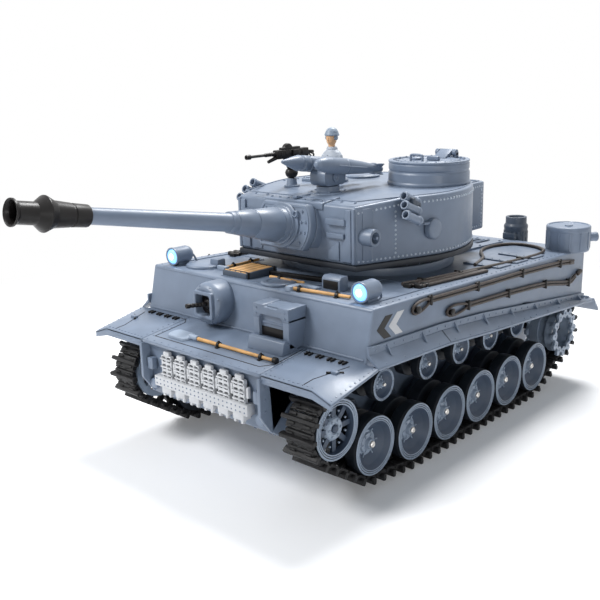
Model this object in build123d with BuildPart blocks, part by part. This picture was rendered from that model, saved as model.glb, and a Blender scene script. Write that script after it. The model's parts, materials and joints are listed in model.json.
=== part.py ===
from build123d import *
import os
from math import acos, asin, atan2, cos, degrees, hypot, pi, radians, sin

# Toy battle tank, millimetres.  +Z is up, the gun looks along -Y, the tank's left side is +X.
# The origin is on the floor, in the middle of the overall length and width.

# ---------------------------------------------------------------- clearances
running_gap = 0.3          # between bodies that pass each other
shaft_gap = 0.06           # radial, a shaft in its bore

# ---------------------------------------------------------------- running gear
link_pitch = 8.0
link_thickness = 2.7
link_gap = 1.0             # lengthwise gap between two link plates
grouser_height = 2.0
grouser_length = 2.6
track_outer_x = 76.0
track_width = 21.0
edge_notch = 2.6           # how far the plates stop short of the grouser ends
bar_seat = 0.3             # bars and horns start a little inside their plate
horn_height = 4.5
horn_width = 2.8
horn_length = 3.4

wheel_radius = 15.3
wheel_pitch = 31.7
wheel_count = 6
last_wheel_y = 114.2
front_wheel_lift = 4.0     # the first wheel rides higher than the others
front_wheel_lead = 33.7    # and sits a little further ahead
wheel_inset = 0.4
rim_width = 2.6            # flat band round the dish
hub_recess = 1.2           # the hub stands this far inside the rim
axle_radius = 2.0
axle_cover = 4.0           # how far each axle stops short of its wheel's face

idler_radius = 15.0
idler_y = -72.7
idler_z = 41.0
idler_inset = 2.0          # from the track's outer edge

roller_radius = 8.5
roller_z = 53.0
roller_inset = 1.9
last_roller_y = 93.0
roller_pitch = 30.9
front_roller_y = -37.8
roller_count = 5

sprocket_y = 153.0
sprocket_z = 33.3
sprocket_teeth = 12
sprocket_ring_width = 2.0
sprocket_shaft_radius = 3.0

arm_thickness = 5.0
arm_reach = (13.0, 9.0)    # from an axle to its arm's pivot, rearwards and upwards

# ---------------------------------------------------------------- hull
wall = 2.0
hull_half_width = 80.0
tub_half_width = 45.0
belly_z = 16.0
deck_front_y = -53.4
deck_front_z = 95.2
deck_rear_y = 166.0
deck_rear_z = 87.0
deck_bevel = 1.2
glacis_rear_y = -59.2
glacis_rear_z = 71.0
glacis_front_y = -92.3
glacis_front_z = 67.0
glacis_inset = 1.0         # the glacis plate is a little narrower than the tub
nose_top_back = 3.8        # from the front edge of the glacis plate to the nose plate
nose_bottom_y = -86.5
nose_bottom_z = 36.0
cheek_lead = 1.3           # how far the cheeks stand before the glacis plate
cheek_bottom_z = 43.0

tub_top_z = 67.2           # underside of the floor beside the tub
tub_nose_belly_y = -55.0
tub_tail_length = 8.0
tub_tail_z = 27.0
side_wall_rear_z = 53.0
side_wall_break_y = 90.0

# ---------------------------------------------------------------- fenders
ledge_step = 1.5
ledge_band = 3.7
skirt_reach = 5.7          # how far the skirt slopes out beyond the ledge
fender_thickness = 1.5
ledge_stations = [
    (glacis_rear_y, 78.6, 70.0), (0.0, 76.3, 67.4), (40.0, 73.0, 63.8), (deck_rear_y, 57.8, 54.6)]
mudguard_lip = 11.2        # the sloping outer strip of a mudguard
mudguard_front_drop = 4.1
mudguard_rear_drop = 1.2
rear_flap_length = 11.0
rear_flap_drop = 9.0

# ---------------------------------------------------------------- drive
gearbox_wall_gap = 0.4     # to the inside of the tub
gearbox_bore_depth = 8.0
gearbox_size = (20.0, 36.0, 22.0)
gearbox_overhang = 5.0      # behind the sprocket shaft

# ---------------------------------------------------------------- turret
turret_y = 43.3
turret_radius = 61.0
turret_front_y = -19.7
turret_front_half_width = 42.0
turret_floor_z = 104.0
turret_front_roof_z = 134.0
roof_z = 136.5
roof_break_y = 8.0
roof_bevel = 1.2
turret_plate = 3.0
ring_radius = 46.0
collar_top_z = 97.0
collar_width = 4.5
spindle_radius = 4.0

# ---------------------------------------------------------------- gun
trunnion_y = -13.7
trunnion_z = 119.8
gun_rest_angle = 10.1
trunnion_radius = 2.0
mantlet_radius = 19.6
mantlet_half_height = 12.2
mantlet_front = 15.2
mantlet_gap = 0.9
mantlet_plate = 9.9         # where the wide front plate starts, forward of the trunnion
mantlet_step = 2.0          # how much lower the part behind the plate is
mantlet_rear = -3.0
trunnion_lug = 3.0
sleeve_rear_radius = 9.3
sleeve_front_radius = 5.4
sleeve_front = 54.5
barrel_rear_radius = 4.9
barrel_front_radius = 3.7
brake_rear = 135.5
brake_length = 35.5

# ---------------------------------------------------------------- turret fittings
port_y = 24.7
port_z = 118.5
port_radius = 6.2
nub_radius = 4.4
bin_half_width = 38.0
bin_rear_y = 114.0
bin_drop = 1.0             # below the turret's front roof edge
cupola_x = 27.5
cupola_y = 66.3
cupola_radius = 24.0
cupola_step_z = 145.5
cupola_top_z = 150.0
hatch_radius = 17.4
hatch_thickness = 1.8
hatch_gap = 0.8
hinge_radius = 2.0
hinge_pin_radius = 1.0
pod_x = 2.0
pod_y = 6.3
pod_drum_radius = 6.4
pod_drum_top_z = 139.6
pod_spread = 7.5           # from the swivel to each pod
pod_radius = 4.4
pod_pitch = 8.0            # degrees, nose up
gunner_post_x = -30.0
gunner_post_y = 11.2
gunner_post_top_z = 141.2
gunner_z = 156.0
crew_x = -24.0
crew_y = 40.5
crew_ring_radius = 9.6
launcher_radius = 2.5
launcher_length = 13.7
launcher_pitch = 22.0
launcher_mouths = [(55.0, 3.5, 138.2), (58.0, -0.2, 134.4), (60.5, -2.5, 129.9)]

# ---------------------------------------------------------------- hull fittings
visor_x = 28.5
visor_width = 24.0
visor_front_y = -68.7
visor_bottom_z = 74.0
visor_top_z = 91.5
hull_gun_x = -22.0
hull_gun_z = 83.4
hull_gun_radius = 11.5
hull_gun_front_y = -66.7
headlight_inset = 11.5     # from the hull's side
headlight_back = 3.7       # behind the front edge of the deck
headlight_z = 100.4
headlight_radius = 5.2
headlight_length = 14.0
rack_half_width = 35.0
rack_front_y = -92.7
rack_bottom_z = 43.3
rack_top_z = 49.0
spare_links = 6
spare_pitch = 10.8
spare_width = 8.0
spare_height = 12.5
tool_radius = 1.2
shovel_y = -80.0
cable_radius = 1.0
clip_size = 2.6
exhaust_x = 26.0
exhaust_gap = 0.7          # to the tail plate
exhaust_radius = 8.2
exhaust_top_z = 101.5
exhaust_bottom_z = 58.0
cleaner_inset = 8.0        # from the hull's side and rear
cleaner_radius = 13.7
cleaner_top_z = 102.8

# ---------------------------------------------------------------- worked out from the above
wheel_outer_x = track_outer_x - wheel_inset
idler_outer_x = track_outer_x - idler_inset
roller_outer_x = track_outer_x - roller_inset
gearbox_outer_x = tub_half_width - wall - gearbox_wall_gap
glacis_half_width = tub_half_width - glacis_inset
nose_top_y = glacis_front_y + nose_top_back
cheek_front_y = glacis_front_y - cheek_lead
tub_tail_belly_y = deck_rear_y - tub_tail_length
skirt_half_width = hull_half_width + ledge_step + skirt_reach
mudguard_bend_x = skirt_half_width - mudguard_lip
headlight_x = hull_half_width - headlight_inset
headlight_y = deck_front_y + headlight_back
exhaust_y = deck_rear_y + exhaust_radius + exhaust_gap
cleaner_x = hull_half_width - cleaner_inset
cleaner_y = deck_rear_y - cleaner_inset
axle_z = grouser_height + link_thickness + running_gap + wheel_radius
track_centre_x = track_outer_x - track_width / 2
plate_width = track_width - 2 * edge_notch
horn_gap = horn_width + 2.2
belt_offset = running_gap + link_thickness / 2


def rear_wheel_row():
    return [last_wheel_y - i * wheel_pitch for i in range(wheel_count - 1)][::-1]


second_wheel_y = rear_wheel_row()[0]
wheel_places = [(second_wheel_y - front_wheel_lead, axle_z + front_wheel_lift)]
wheel_places += [(y, axle_z) for y in rear_wheel_row()]
roller_places = [(front_roller_y, roller_z)]
roller_places += [(last_roller_y - i * roller_pitch, roller_z) for i in range(roller_count - 1)][::-1]
sprocket_pitch_radius = link_pitch / (2 * sin(pi / sprocket_teeth))
sprocket_tip_radius = sprocket_pitch_radius + link_thickness / 2 - bar_seat - running_gap
drum_radius = sprocket_pitch_radius - link_thickness / 2 - running_gap


def side_plane(y, z):
    """Plane through an axle: local x is outwards along the axle, local y is up."""
    return Plane(origin=(0, y, z), x_dir=(1, 0, 0), z_dir=(0, -1, 0))


def axle_axis(y, z):
    return Axis((0, y, z), (1, 0, 0))


def mirrored(part):
    with BuildPart() as other:
        add(part)
        mirror(about=Plane.YZ, mode=Mode.REPLACE)
    return other.part


def save(name, *parts):
    """Write one node; a node may hold several separate solids."""
    solids = [solid for part in parts for solid in part.solids()]
    node = Compound(children=solids) if len(solids) > 1 else solids[0]
    node.label = name
    export_step(node, f"parts/{name}.step")


def turned_on(y, z, profile):
    """A solid of revolution about an axle; profile is (along the axle, radius) points."""
    with BuildPart() as turned:
        with BuildSketch(side_plane(y, z)):
            with BuildLine():
                Polyline(*profile, close=True)
            make_face()
        revolve(axis=axle_axis(y, z))
    return turned.part


# ---------------------------------------------------------------- wheels
def double_wheel(y, z, outer, radius):
    """Two dished treads with a groove for the track horns, and a blind bore for the axle."""
    inner = 2 * track_centre_x - outer
    gap_inner = track_centre_x - horn_gap / 2
    gap_outer = track_centre_x + horn_gap / 2
    groove = radius - horn_height - running_gap
    return turned_on(y, z, [
        (inner, axle_radius + shaft_gap), (outer - axle_cover, axle_radius + shaft_gap),
        (outer - axle_cover, 0),
        (outer - hub_recess, 0), (outer - hub_recess, 0.28 * radius), (outer - 0.3 * radius, 0.38 * radius),
        (outer, radius - rim_width), (outer, radius), (gap_outer, radius), (gap_outer, groove),
        (gap_inner, groove), (gap_inner, radius), (inner, radius),
    ])


def save_pair(name, parts):
    save(f"left_{name}", *parts)
    save(f"right_{name}", *[mirrored(part) for part in parts])


os.makedirs("parts", exist_ok=True)

for number, (y, z) in enumerate(wheel_places, 1):
    save_pair(f"road_wheel_{number}", [double_wheel(y, z, wheel_outer_x, wheel_radius)])

for number, (y, z) in enumerate(roller_places, 1):
    save_pair(f"return_roller_{number}", [double_wheel(y, z, roller_outer_x, roller_radius)])

# ---------------------------------------------------------------- track
def belt_stations():
    """The circles that the track runs round, front first, then along the ground."""
    idler = (idler_y, idler_z, idler_radius + belt_offset)
    wheels = [(y, z, wheel_radius + belt_offset)
              for y, z in (wheel_places[0], wheel_places[1], wheel_places[-1])]
    sprocket = (sprocket_y, sprocket_z, sprocket_pitch_radius)
    rollers = [(y, z, roller_radius + belt_offset) for y, z in (roller_places[-1], roller_places[0])]
    return [idler, *wheels, sprocket, *rollers]


def tangent_points(first, second):
    """Outer tangent between two circles, both passed on the belt's inner side."""
    along = (second[0] - first[0], second[1] - first[1])
    distance = hypot(*along)
    lean = asin((first[2] - second[2]) / distance) - pi / 2
    heading = atan2(along[1], along[0])
    normal = (cos(heading + lean), sin(heading + lean))
    return normal, [(c[0] + c[2] * normal[0], c[1] + c[2] * normal[1]) for c in (first, second)]


stations = belt_stations()
runs = [tangent_points(a, b) for a, b in zip(stations, stations[1:] + stations[:1])]

with BuildLine(Plane.YZ) as belt:
    for i, (normal, (start, end)) in enumerate(runs):
        previous, (_, arrival) = runs[i - 1]
        y, z, radius = stations[i]
        bisector = Vector(previous[0] + normal[0], previous[1] + normal[1], 0).normalized() * radius
        ThreePointArc(arrival, (y + bisector.X, z + bisector.Y), start)
        Line(start, end)

belt_wire = belt.wire()
link_count = round(belt_wire.length / link_pitch)


def link_point(link, along, across):
    """Point in the side plane: along the link and across outwards, both from its middle."""
    place = belt_wire.position_at(link / link_count)
    heading = belt_wire.tangent_at(link / link_count)
    return (place.Y + along * heading.Y + across * heading.Z,
            place.Z + along * heading.Z - across * heading.Y)


def link_spots(across):
    """Each link's place in the side plane, with local x along the belt."""
    headings = [belt_wire.tangent_at(link / link_count) for link in range(link_count)]
    return Locations(*[Location(link_point(link, 0, across), degrees(atan2(heading.Z, heading.Y)))
                       for link, heading in enumerate(headings)])


def side_slab(width):
    """The side plane, moved inwards so that a slab of this width is centred on the track."""
    return Plane.YZ.offset(track_centre_x - width / 2)


half_plate = link_thickness / 2
half_link = (link_pitch - link_gap) / 2
outer_side, inner_side = [], []
for link in range(link_count):
    outer_side += [link_point(link, along, half_plate) for along in (-half_link, half_link)]
    outer_side.append(link_point((link + 0.5) % link_count, 0, -half_plate / 2))
    inner_side += [link_point(link, along, -half_plate) for along in (-half_link / 2, half_link / 2)]

with BuildPart() as track:
    with BuildSketch(side_slab(plate_width)):
        Polygon(*outer_side, align=None)
        Polygon(*inner_side, align=None, mode=Mode.SUBTRACT)
    extrude(amount=plate_width)
    with BuildSketch(side_slab(track_width)):
        with link_spots(half_plate - bar_seat):
            Rectangle(grouser_length, grouser_height + bar_seat, align=(Align.CENTER, Align.MAX))
    extrude(amount=track_width)
    with BuildSketch(side_slab(horn_width)):
        with link_spots(bar_seat - half_plate):
            Rectangle(horn_length, horn_height + bar_seat, align=(Align.CENTER, Align.MIN))
    extrude(amount=horn_width)
save_pair("track", [track.part])

# ---------------------------------------------------------------- idler
idler_inner_x = 2 * track_centre_x - idler_outer_x


def spoked_disc(y, z, outer, thickness, radius, hub_radius, spokes, spoke_width):
    """A flat wheel disc with a rim, a hub and straight spokes between them."""
    with BuildPart() as disc:
        with BuildSketch(Plane(origin=(outer - thickness, y, z), x_dir=(0, 1, 0), z_dir=(1, 0, 0))):
            Circle(radius)
            Circle(0.78 * radius, mode=Mode.SUBTRACT)
            Circle(hub_radius)
            with PolarLocations(0, spokes):
                Rectangle(0.9 * radius, spoke_width, align=(Align.MIN, Align.CENTER))
        extrude(amount=thickness)
    return disc


with BuildPart() as idler:
    disc_thickness = 3.0
    for outer in (idler_outer_x, idler_inner_x + disc_thickness):
        add(spoked_disc(idler_y, idler_z, outer, disc_thickness, idler_radius, 5.5, 8, 3.0))
    with BuildSketch(Plane(origin=(idler_inner_x, idler_y, idler_z), x_dir=(0, 1, 0), z_dir=(1, 0, 0))):
        Circle(0.42 * idler_radius)
    extrude(amount=idler_outer_x - idler_inner_x)
    with BuildSketch(Plane(origin=(idler_inner_x, idler_y, idler_z), x_dir=(0, 1, 0), z_dir=(1, 0, 0))):
        Circle(axle_radius + shaft_gap)
    extrude(amount=idler_outer_x - axle_cover - idler_inner_x, mode=Mode.SUBTRACT)
save_pair("idler", [idler.part])

# ---------------------------------------------------------------- drive sprocket
ring_outer_x = track_centre_x + plate_width / 2 + running_gap + sprocket_ring_width
ring_inner_x = 2 * track_centre_x - ring_outer_x
shaft_end_x = gearbox_outer_x - gearbox_bore_depth + running_gap
tooth_root = drum_radius - 0.6


def axle_plane(x, y, z):
    """Plane square to an axle: local x is to the rear, local y is up, normal is outwards."""
    return Plane(origin=(x, y, z), x_dir=(0, 1, 0), z_dir=(1, 0, 0))


with BuildPart() as sprocket:
    groove = sprocket_pitch_radius - link_thickness / 2 - horn_height - running_gap
    gap_inner = track_centre_x - horn_gap / 2
    gap_outer = track_centre_x + horn_gap / 2
    add(turned_on(sprocket_y, sprocket_z, [
        (shaft_end_x, 0), (shaft_end_x, sprocket_shaft_radius), (ring_inner_x, sprocket_shaft_radius),
        (ring_inner_x, tooth_root), (ring_inner_x + sprocket_ring_width, drum_radius),
        (gap_inner, drum_radius), (gap_inner, groove), (gap_outer, groove), (gap_outer, drum_radius),
        (ring_outer_x, drum_radius), (ring_outer_x, drum_radius - 2.5), (gap_outer + 1.2, drum_radius - 4.5),
        (gap_outer + 1.2, 0),
    ]))
    for x in (ring_inner_x, ring_outer_x - sprocket_ring_width):
        with BuildSketch(axle_plane(x, sprocket_y, sprocket_z)):
            with PolarLocations(tooth_root, sprocket_teeth):
                Trapezoid(0.55 * link_pitch, 2 * (sprocket_tip_radius - tooth_root), 78, rotation=-90)
        extrude(amount=sprocket_ring_width)
save_pair("drive_sprocket", [sprocket.part])

# ---------------------------------------------------------------- lower hull
def glacis_z(y):
    slope = (glacis_rear_z - glacis_front_z) / (glacis_rear_y - glacis_front_y)
    return glacis_front_z + slope * (y - glacis_front_y)


def deck_z(y):
    slope = (deck_rear_z - deck_front_z) / (deck_rear_y - deck_front_y)
    return deck_front_z + slope * (y - deck_front_y)


def extruded_side(outline, half_width, inner=0.0):
    """A side-view outline, extruded over the hull's width or, with inner, over both side strips."""
    with BuildPart() as body:
        with BuildSketch(Plane.YZ.offset(inner)):
            with BuildLine():
                Polyline(*outline, close=True)
            make_face()
        extrude(amount=half_width - inner)
        mirror(about=Plane.YZ)
    return body.part


tub_rear_y = deck_rear_y - wall
under_glacis = glacis_z(nose_top_y) - wall
tub_outline = [
    (nose_top_y, under_glacis), (nose_bottom_y, nose_bottom_z), (tub_nose_belly_y, belly_z),
    (tub_tail_belly_y, belly_z), (tub_rear_y, tub_tail_z), (tub_rear_y, tub_top_z),
    (glacis_rear_y, tub_top_z), (glacis_rear_y, glacis_rear_z - wall),
]
tub_cavity = [
    (nose_top_y + wall, tub_top_z + 5), (nose_bottom_y + wall, nose_bottom_z + wall / 2),
    (tub_nose_belly_y + wall / 2, belly_z + wall), (tub_tail_belly_y - wall / 2, belly_z + wall),
    (tub_rear_y - wall, tub_tail_z + wall / 2), (tub_rear_y - wall, tub_top_z + 5),
]
cheek = [
    (cheek_front_y, glacis_z(cheek_front_y) - wall), (cheek_front_y, cheek_bottom_z + 3),
    (cheek_front_y + 2, cheek_bottom_z), (nose_bottom_y, nose_bottom_z), (nose_top_y, under_glacis),
]

with BuildPart() as lower_hull:
    add(extruded_side(tub_outline, tub_half_width))
    add(extruded_side(tub_cavity, tub_half_width - wall), mode=Mode.SUBTRACT)
    add(extruded_side(cheek, tub_half_width, tub_half_width - wall))
    for side in (1, -1):
        with BuildSketch(axle_plane(side * tub_half_width, sprocket_y, sprocket_z)):
            Circle(sprocket_shaft_radius + running_gap)
        extrude(amount=-side * wall, mode=Mode.SUBTRACT)
save("lower_hull", lower_hull.part)

# ---------------------------------------------------------------- upper hull
shell_outline = [
    (glacis_rear_y, tub_top_z), (glacis_rear_y, glacis_rear_z), (deck_front_y, deck_front_z),
    (deck_rear_y, deck_rear_z), (deck_rear_y, side_wall_rear_z), (side_wall_break_y, tub_top_z),
]
cavity_front_y = glacis_rear_y + 1.1 * wall
shell_cavity = [
    (cavity_front_y, tub_top_z + wall), (cavity_front_y, glacis_rear_z),
    (deck_front_y + wall, deck_z(deck_front_y + wall) - wall), (tub_rear_y, deck_z(tub_rear_y) - wall),
    (tub_rear_y, tub_top_z + wall),
]
under_floor = [
    (cavity_front_y, tub_top_z), (tub_rear_y, tub_top_z), (tub_rear_y, side_wall_rear_z - wall),
    (cavity_front_y, side_wall_rear_z - wall),
]
between_sides = [(cavity_front_y, tub_top_z - 1), (cavity_front_y, tub_top_z + 2 * wall),
                 (tub_rear_y, tub_top_z + 2 * wall), (tub_rear_y, tub_top_z - 1)]
glacis_plate = [
    (glacis_front_y, glacis_front_z), (glacis_rear_y, glacis_rear_z),
    (glacis_rear_y, glacis_rear_z - wall), (glacis_front_y, glacis_front_z - wall),
]
collar_radius = ring_radius + 2 * running_gap

with BuildPart() as hull_block:
    add(extruded_side(shell_outline, hull_half_width))
    chamfer(hull_block.edges().filter_by(
        lambda edge: abs(edge.center().X) > hull_half_width - 0.1 and edge.center().Z > deck_rear_z),
        deck_bevel)
hull_form = hull_block.part

with BuildPart() as upper_hull:
    add(hull_form)
    add(extruded_side(shell_cavity, hull_half_width - wall), mode=Mode.SUBTRACT)
    add(extruded_side(under_floor, hull_half_width - wall), mode=Mode.SUBTRACT)
    add(extruded_side(between_sides, tub_half_width - wall), mode=Mode.SUBTRACT)
    add(extruded_side(glacis_plate, glacis_half_width))
    with BuildSketch(Plane.XY.offset(collar_top_z)):
        with Locations((0, turret_y)):
            Circle(collar_radius + collar_width)
    extrude(amount=deck_z(turret_y + collar_radius) - wall - collar_top_z)
    with BuildSketch(Plane.XY.offset(collar_top_z)):
        with Locations((0, turret_y)):
            Circle(collar_radius)
    extrude(amount=-6 * wall, mode=Mode.SUBTRACT)
save("upper_hull", upper_hull.part)


def lofted(sections):
    """A ruled solid through (y, outline) sections, each outline in front view as (x, z) points."""
    with BuildPart() as skin:
        for y, outline in sections:
            with BuildSketch(Plane(origin=(0, y, 0), x_dir=(1, 0, 0), z_dir=(0, -1, 0))):
                with BuildLine():
                    Polyline(*outline, close=True)
                make_face()
        loft(ruled=True)
    return skin.part


def fender_section(ledge, edge):
    band_x = hull_half_width + ledge_step
    foot = ledge - ledge_band
    return [
        (hull_half_width, ledge), (band_x, ledge), (band_x, foot), (skirt_half_width, edge),
        (skirt_half_width, edge - fender_thickness), (hull_half_width, foot - fender_thickness),
    ]


def mudguard_section(z, drop):
    under = z - fender_thickness
    return [
        (glacis_half_width, z), (mudguard_bend_x, z), (skirt_half_width, z - drop),
        (skirt_half_width, under - drop), (mudguard_bend_x, under), (glacis_half_width, under),
    ]


fender = lofted([(y, fender_section(ledge, edge)) for y, ledge, edge in ledge_stations])
mudguard = lofted([
    (glacis_front_y, mudguard_section(glacis_front_z, mudguard_front_drop)),
    (glacis_rear_y, mudguard_section(glacis_rear_z, mudguard_rear_drop)),
])
flap_edge = ledge_stations[-1][2]
with BuildPart() as rear_flap:
    with BuildSketch(Plane.YZ.offset(track_centre_x - track_width / 2)):
        with BuildLine():
            Polyline(
                (deck_rear_y, flap_edge), (deck_rear_y + 3, flap_edge),
                (deck_rear_y + rear_flap_length, flap_edge - rear_flap_drop),
                (deck_rear_y + rear_flap_length - 1.2, flap_edge - rear_flap_drop - 1),
                (deck_rear_y + 2.4, flap_edge - fender_thickness),
                (deck_rear_y, flap_edge - fender_thickness), close=True)
        make_face()
    extrude(amount=skirt_half_width - track_centre_x + track_width / 2)
save("fenders", fender, mirrored(fender), rear_flap.part, mirrored(rear_flap.part))
save("front_mudguards", mudguard, mirrored(mudguard))

# ---------------------------------------------------------------- suspension
arm_x = tub_half_width + running_gap
fixed_axles = [(y, z, roller_outer_x) for y, z in roller_places] + [(idler_y, idler_z, idler_outer_x)]
with BuildPart() as suspension:
    for y, z in wheel_places:
        with BuildSketch(axle_plane(arm_x, y, z)):
            RegularPolygon(2 * axle_radius, 8)
            with Locations(arm_reach):
                RegularPolygon(2.4 * axle_radius, 8)
            make_hull()
        extrude(amount=arm_thickness)
        with BuildSketch(axle_plane(tub_half_width, y + arm_reach[0], z + arm_reach[1])):
            RegularPolygon(1.7 * axle_radius, 8)
        extrude(amount=arm_thickness)
        with BuildSketch(axle_plane(arm_x, y, z)):
            Circle(axle_radius)
        extrude(amount=wheel_outer_x - axle_cover - running_gap - arm_x)
    for y, z, outer in fixed_axles:
        with BuildSketch(axle_plane(tub_half_width, y, z)):
            RegularPolygon(2 * axle_radius, 8)
        extrude(amount=2 * track_centre_x - outer - running_gap - tub_half_width)
        with BuildSketch(axle_plane(tub_half_width, y, z)):
            Circle(axle_radius)
        extrude(amount=outer - axle_cover - running_gap - tub_half_width)
save("suspension_arms", suspension.part, mirrored(suspension.part))

# ---------------------------------------------------------------- drive inside the hull
with BuildPart() as gearbox:
    width, length, height = gearbox_size
    with BuildSketch(axle_plane(gearbox_outer_x, sprocket_y, sprocket_z)):
        with Locations((gearbox_overhang - length / 2, 0)):
            RectangleRounded(length, height, 3)
    extrude(amount=-width)
    with BuildSketch(axle_plane(gearbox_outer_x, sprocket_y, sprocket_z)):
        Circle(sprocket_shaft_radius + shaft_gap)
    extrude(amount=-gearbox_bore_depth, mode=Mode.SUBTRACT)
with BuildPart() as drive_motor:
    motor_y = sprocket_y + gearbox_overhang - length
    with BuildSketch(Plane.XZ.offset(-motor_y)):
        with Locations((gearbox_outer_x - width / 2, sprocket_z)):
            Circle(9)
    extrude(amount=26)
    with BuildSketch(Plane.XZ.offset(-motor_y + 26)):
        with Locations((gearbox_outer_x - width / 2, sprocket_z)):
            Circle(3)
    extrude(amount=2)
save("drive_gearboxes", gearbox.part, drive_motor.part, mirrored(gearbox.part), mirrored(drive_motor.part))

battery_size = (44.0, 62.0, 22.0)
with BuildPart() as battery:
    with BuildSketch(Plane.XY.offset(belly_z + wall)):
        with Locations((0, 10)):
            RectangleRounded(battery_size[0], battery_size[1], 3)
    extrude(amount=battery_size[2])
save("battery_pack", battery.part)

with BuildPart() as board:
    board_z = belly_z + wall
    with BuildSketch(Plane.XY.offset(board_z + 5)):
        with Locations((0, 74)):
            Rectangle(56, 44)
    extrude(amount=1.6)
    with BuildSketch(Plane.XY.offset(board_z)):
        with Locations((0, 74)):
            with GridLocations(46, 34, 2, 2):
                Circle(2.5)
    extrude(amount=5)
    with BuildSketch(Plane.XY.offset(board_z + 6.6)):
        with Locations((-10, 74)):
            Rectangle(14, 14)
        with Locations((14, 82), (14, 66)):
            Rectangle(9, 7)
    extrude(amount=2.5)
save("control_board", board.part)

# ---------------------------------------------------------------- turret
def turret_outline(grow=0.0, front_grow=None):
    """Horseshoe plan: a flat front, straight flared sides and a round back."""
    radius = turret_radius + grow
    half_front = turret_front_half_width + grow
    front_y = turret_front_y - (grow if front_grow is None else front_grow)
    reach = hypot(half_front, turret_y - front_y)
    swing = atan2(front_y - turret_y, half_front) + acos(radius / reach)
    side = (radius * cos(swing), turret_y + radius * sin(swing))
    with BuildLine() as outline:
        Line((-half_front, front_y), (half_front, front_y))
        Line((half_front, front_y), side)
        ThreePointArc(side, (0, turret_y + radius), (-side[0], side[1]))
        Line((-side[0], side[1]), (-half_front, front_y))
    return outline


def turret_slab(z, height, grow=0.0, front_grow=None):
    with BuildPart() as slab:
        with BuildSketch(Plane.XY.offset(z)):
            add(turret_outline(grow, front_grow))
            make_face()
        extrude(amount=height)
    return slab.part


with BuildPart() as turret_form:
    add(turret_slab(turret_floor_z, roof_z - turret_floor_z))
    with BuildSketch(Plane.YZ):
        with BuildLine():
            Polyline((turret_front_y - 1, turret_front_roof_z), (turret_front_y, turret_front_roof_z),
                     (roof_break_y, roof_z), (roof_break_y, roof_z + 2), (turret_front_y - 1, roof_z + 2),
                     close=True)
        make_face()
    extrude(amount=turret_radius + 1, both=True, mode=Mode.SUBTRACT)
    chamfer(turret_form.edges().filter_by(
        lambda edge: edge.center().Z > turret_front_roof_z - 0.1 and edge.length > turret_radius / 2
        and not (abs(edge.center().Y - roof_break_y) < 0.1 and abs(edge.center().X) < 0.1)), roof_bevel)

with BuildPart() as turret_shell:
    add(turret_form.part)
    add(turret_slab(turret_floor_z, turret_front_roof_z - wall - turret_floor_z, -wall), mode=Mode.SUBTRACT)
    with BuildSketch(Plane.XZ.offset(-turret_front_y + 1)):
        with Locations((0, trunnion_z)):
            Circle(mantlet_radius + mantlet_gap)
            Rectangle(3 * mantlet_radius, 2 * mantlet_half_height, mode=Mode.INTERSECT)
    extrude(amount=-wall - 2, mode=Mode.SUBTRACT)
    for side in (1, -1):
        lug_x = side * (mantlet_radius + mantlet_gap + 0.4)
        with BuildSketch(axle_plane(lug_x, trunnion_y, trunnion_z)):
            Circle(2.4 * trunnion_radius)
            with Locations((turret_front_y + wall / 2 - trunnion_y, 0)):
                Rectangle(wall, 4.8 * trunnion_radius)
            make_hull()
            Circle(trunnion_radius + shaft_gap, mode=Mode.SUBTRACT)
        extrude(amount=side * trunnion_lug)
    for side in (1, -1):
        with BuildSketch(axle_plane(side * (turret_radius - 6), port_y, port_z)):
            Circle(port_radius)
        extrude(amount=side * 6)
        with BuildSketch(axle_plane(side * (turret_front_half_width - 1), turret_front_y + 6, port_z)):
            Circle(nub_radius)
        extrude(amount=side * 9)
save("turret_shell", turret_shell.part)

with BuildPart() as turret_base:
    add(turret_slab(turret_floor_z - turret_plate, turret_plate, 0.8))
    ring_bottom = collar_top_z - 5 * wall
    with BuildSketch(Plane.XY.offset(ring_bottom)):
        with Locations((0, turret_y)):
            Circle(ring_radius)
            Circle(ring_radius - wall, mode=Mode.SUBTRACT)
    extrude(amount=turret_floor_z - turret_plate - ring_bottom)
    with BuildSketch(Plane.XY.offset(collar_top_z + running_gap)):
        with Locations((0, turret_y)):
            Circle(collar_radius + collar_width)
            Circle(ring_radius - wall, mode=Mode.SUBTRACT)
    extrude(amount=wall)
    with BuildSketch(Plane.XY.offset(turret_floor_z - turret_plate)):
        with Locations((0, turret_y)):
            Circle(2 * spindle_radius)
    extrude(amount=-8)
    with BuildSketch(Plane.XY.offset(turret_floor_z - turret_plate)):
        with Locations((0, turret_y)):
            Circle(spindle_radius)
    extrude(amount=-28)
save("turret_base", turret_base.part)

motor_top_z = turret_floor_z - turret_plate - 8 - 2
with BuildPart() as turret_motor:
    with BuildSketch(Plane.XY.offset(motor_top_z)):
        with Locations((0, turret_y)):
            RectangleRounded(34, 26, 4)
    extrude(amount=-30)
    with BuildSketch(Plane.XY.offset(motor_top_z)):
        with Locations((0, turret_y)):
            Circle(spindle_radius + shaft_gap)
    extrude(amount=-22, mode=Mode.SUBTRACT)
    with BuildSketch(Plane.XY.offset(motor_top_z - 30)):
        with Locations((0, turret_y)):
            Rectangle(2 * (tub_half_width - wall), 12)
    extrude(amount=3)
save("turret_motor", turret_motor.part)

def upright(x, y, z, radius, height, bore=0.0):
    """A vertical round post or ring standing on z."""
    with BuildPart() as post:
        with BuildSketch(Plane(origin=(x, y, z))):
            Circle(radius)
            if bore:
                Circle(bore, mode=Mode.SUBTRACT)
        extrude(amount=height)
    return post.part


def box_at(x, y, z, width, length, height):
    """A plain block centred on x and y and standing on z."""
    with BuildPart() as block:
        with BuildSketch(Plane(origin=(x, y, z))):
            Rectangle(width, length)
        extrude(amount=height)
    return block.part


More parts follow.
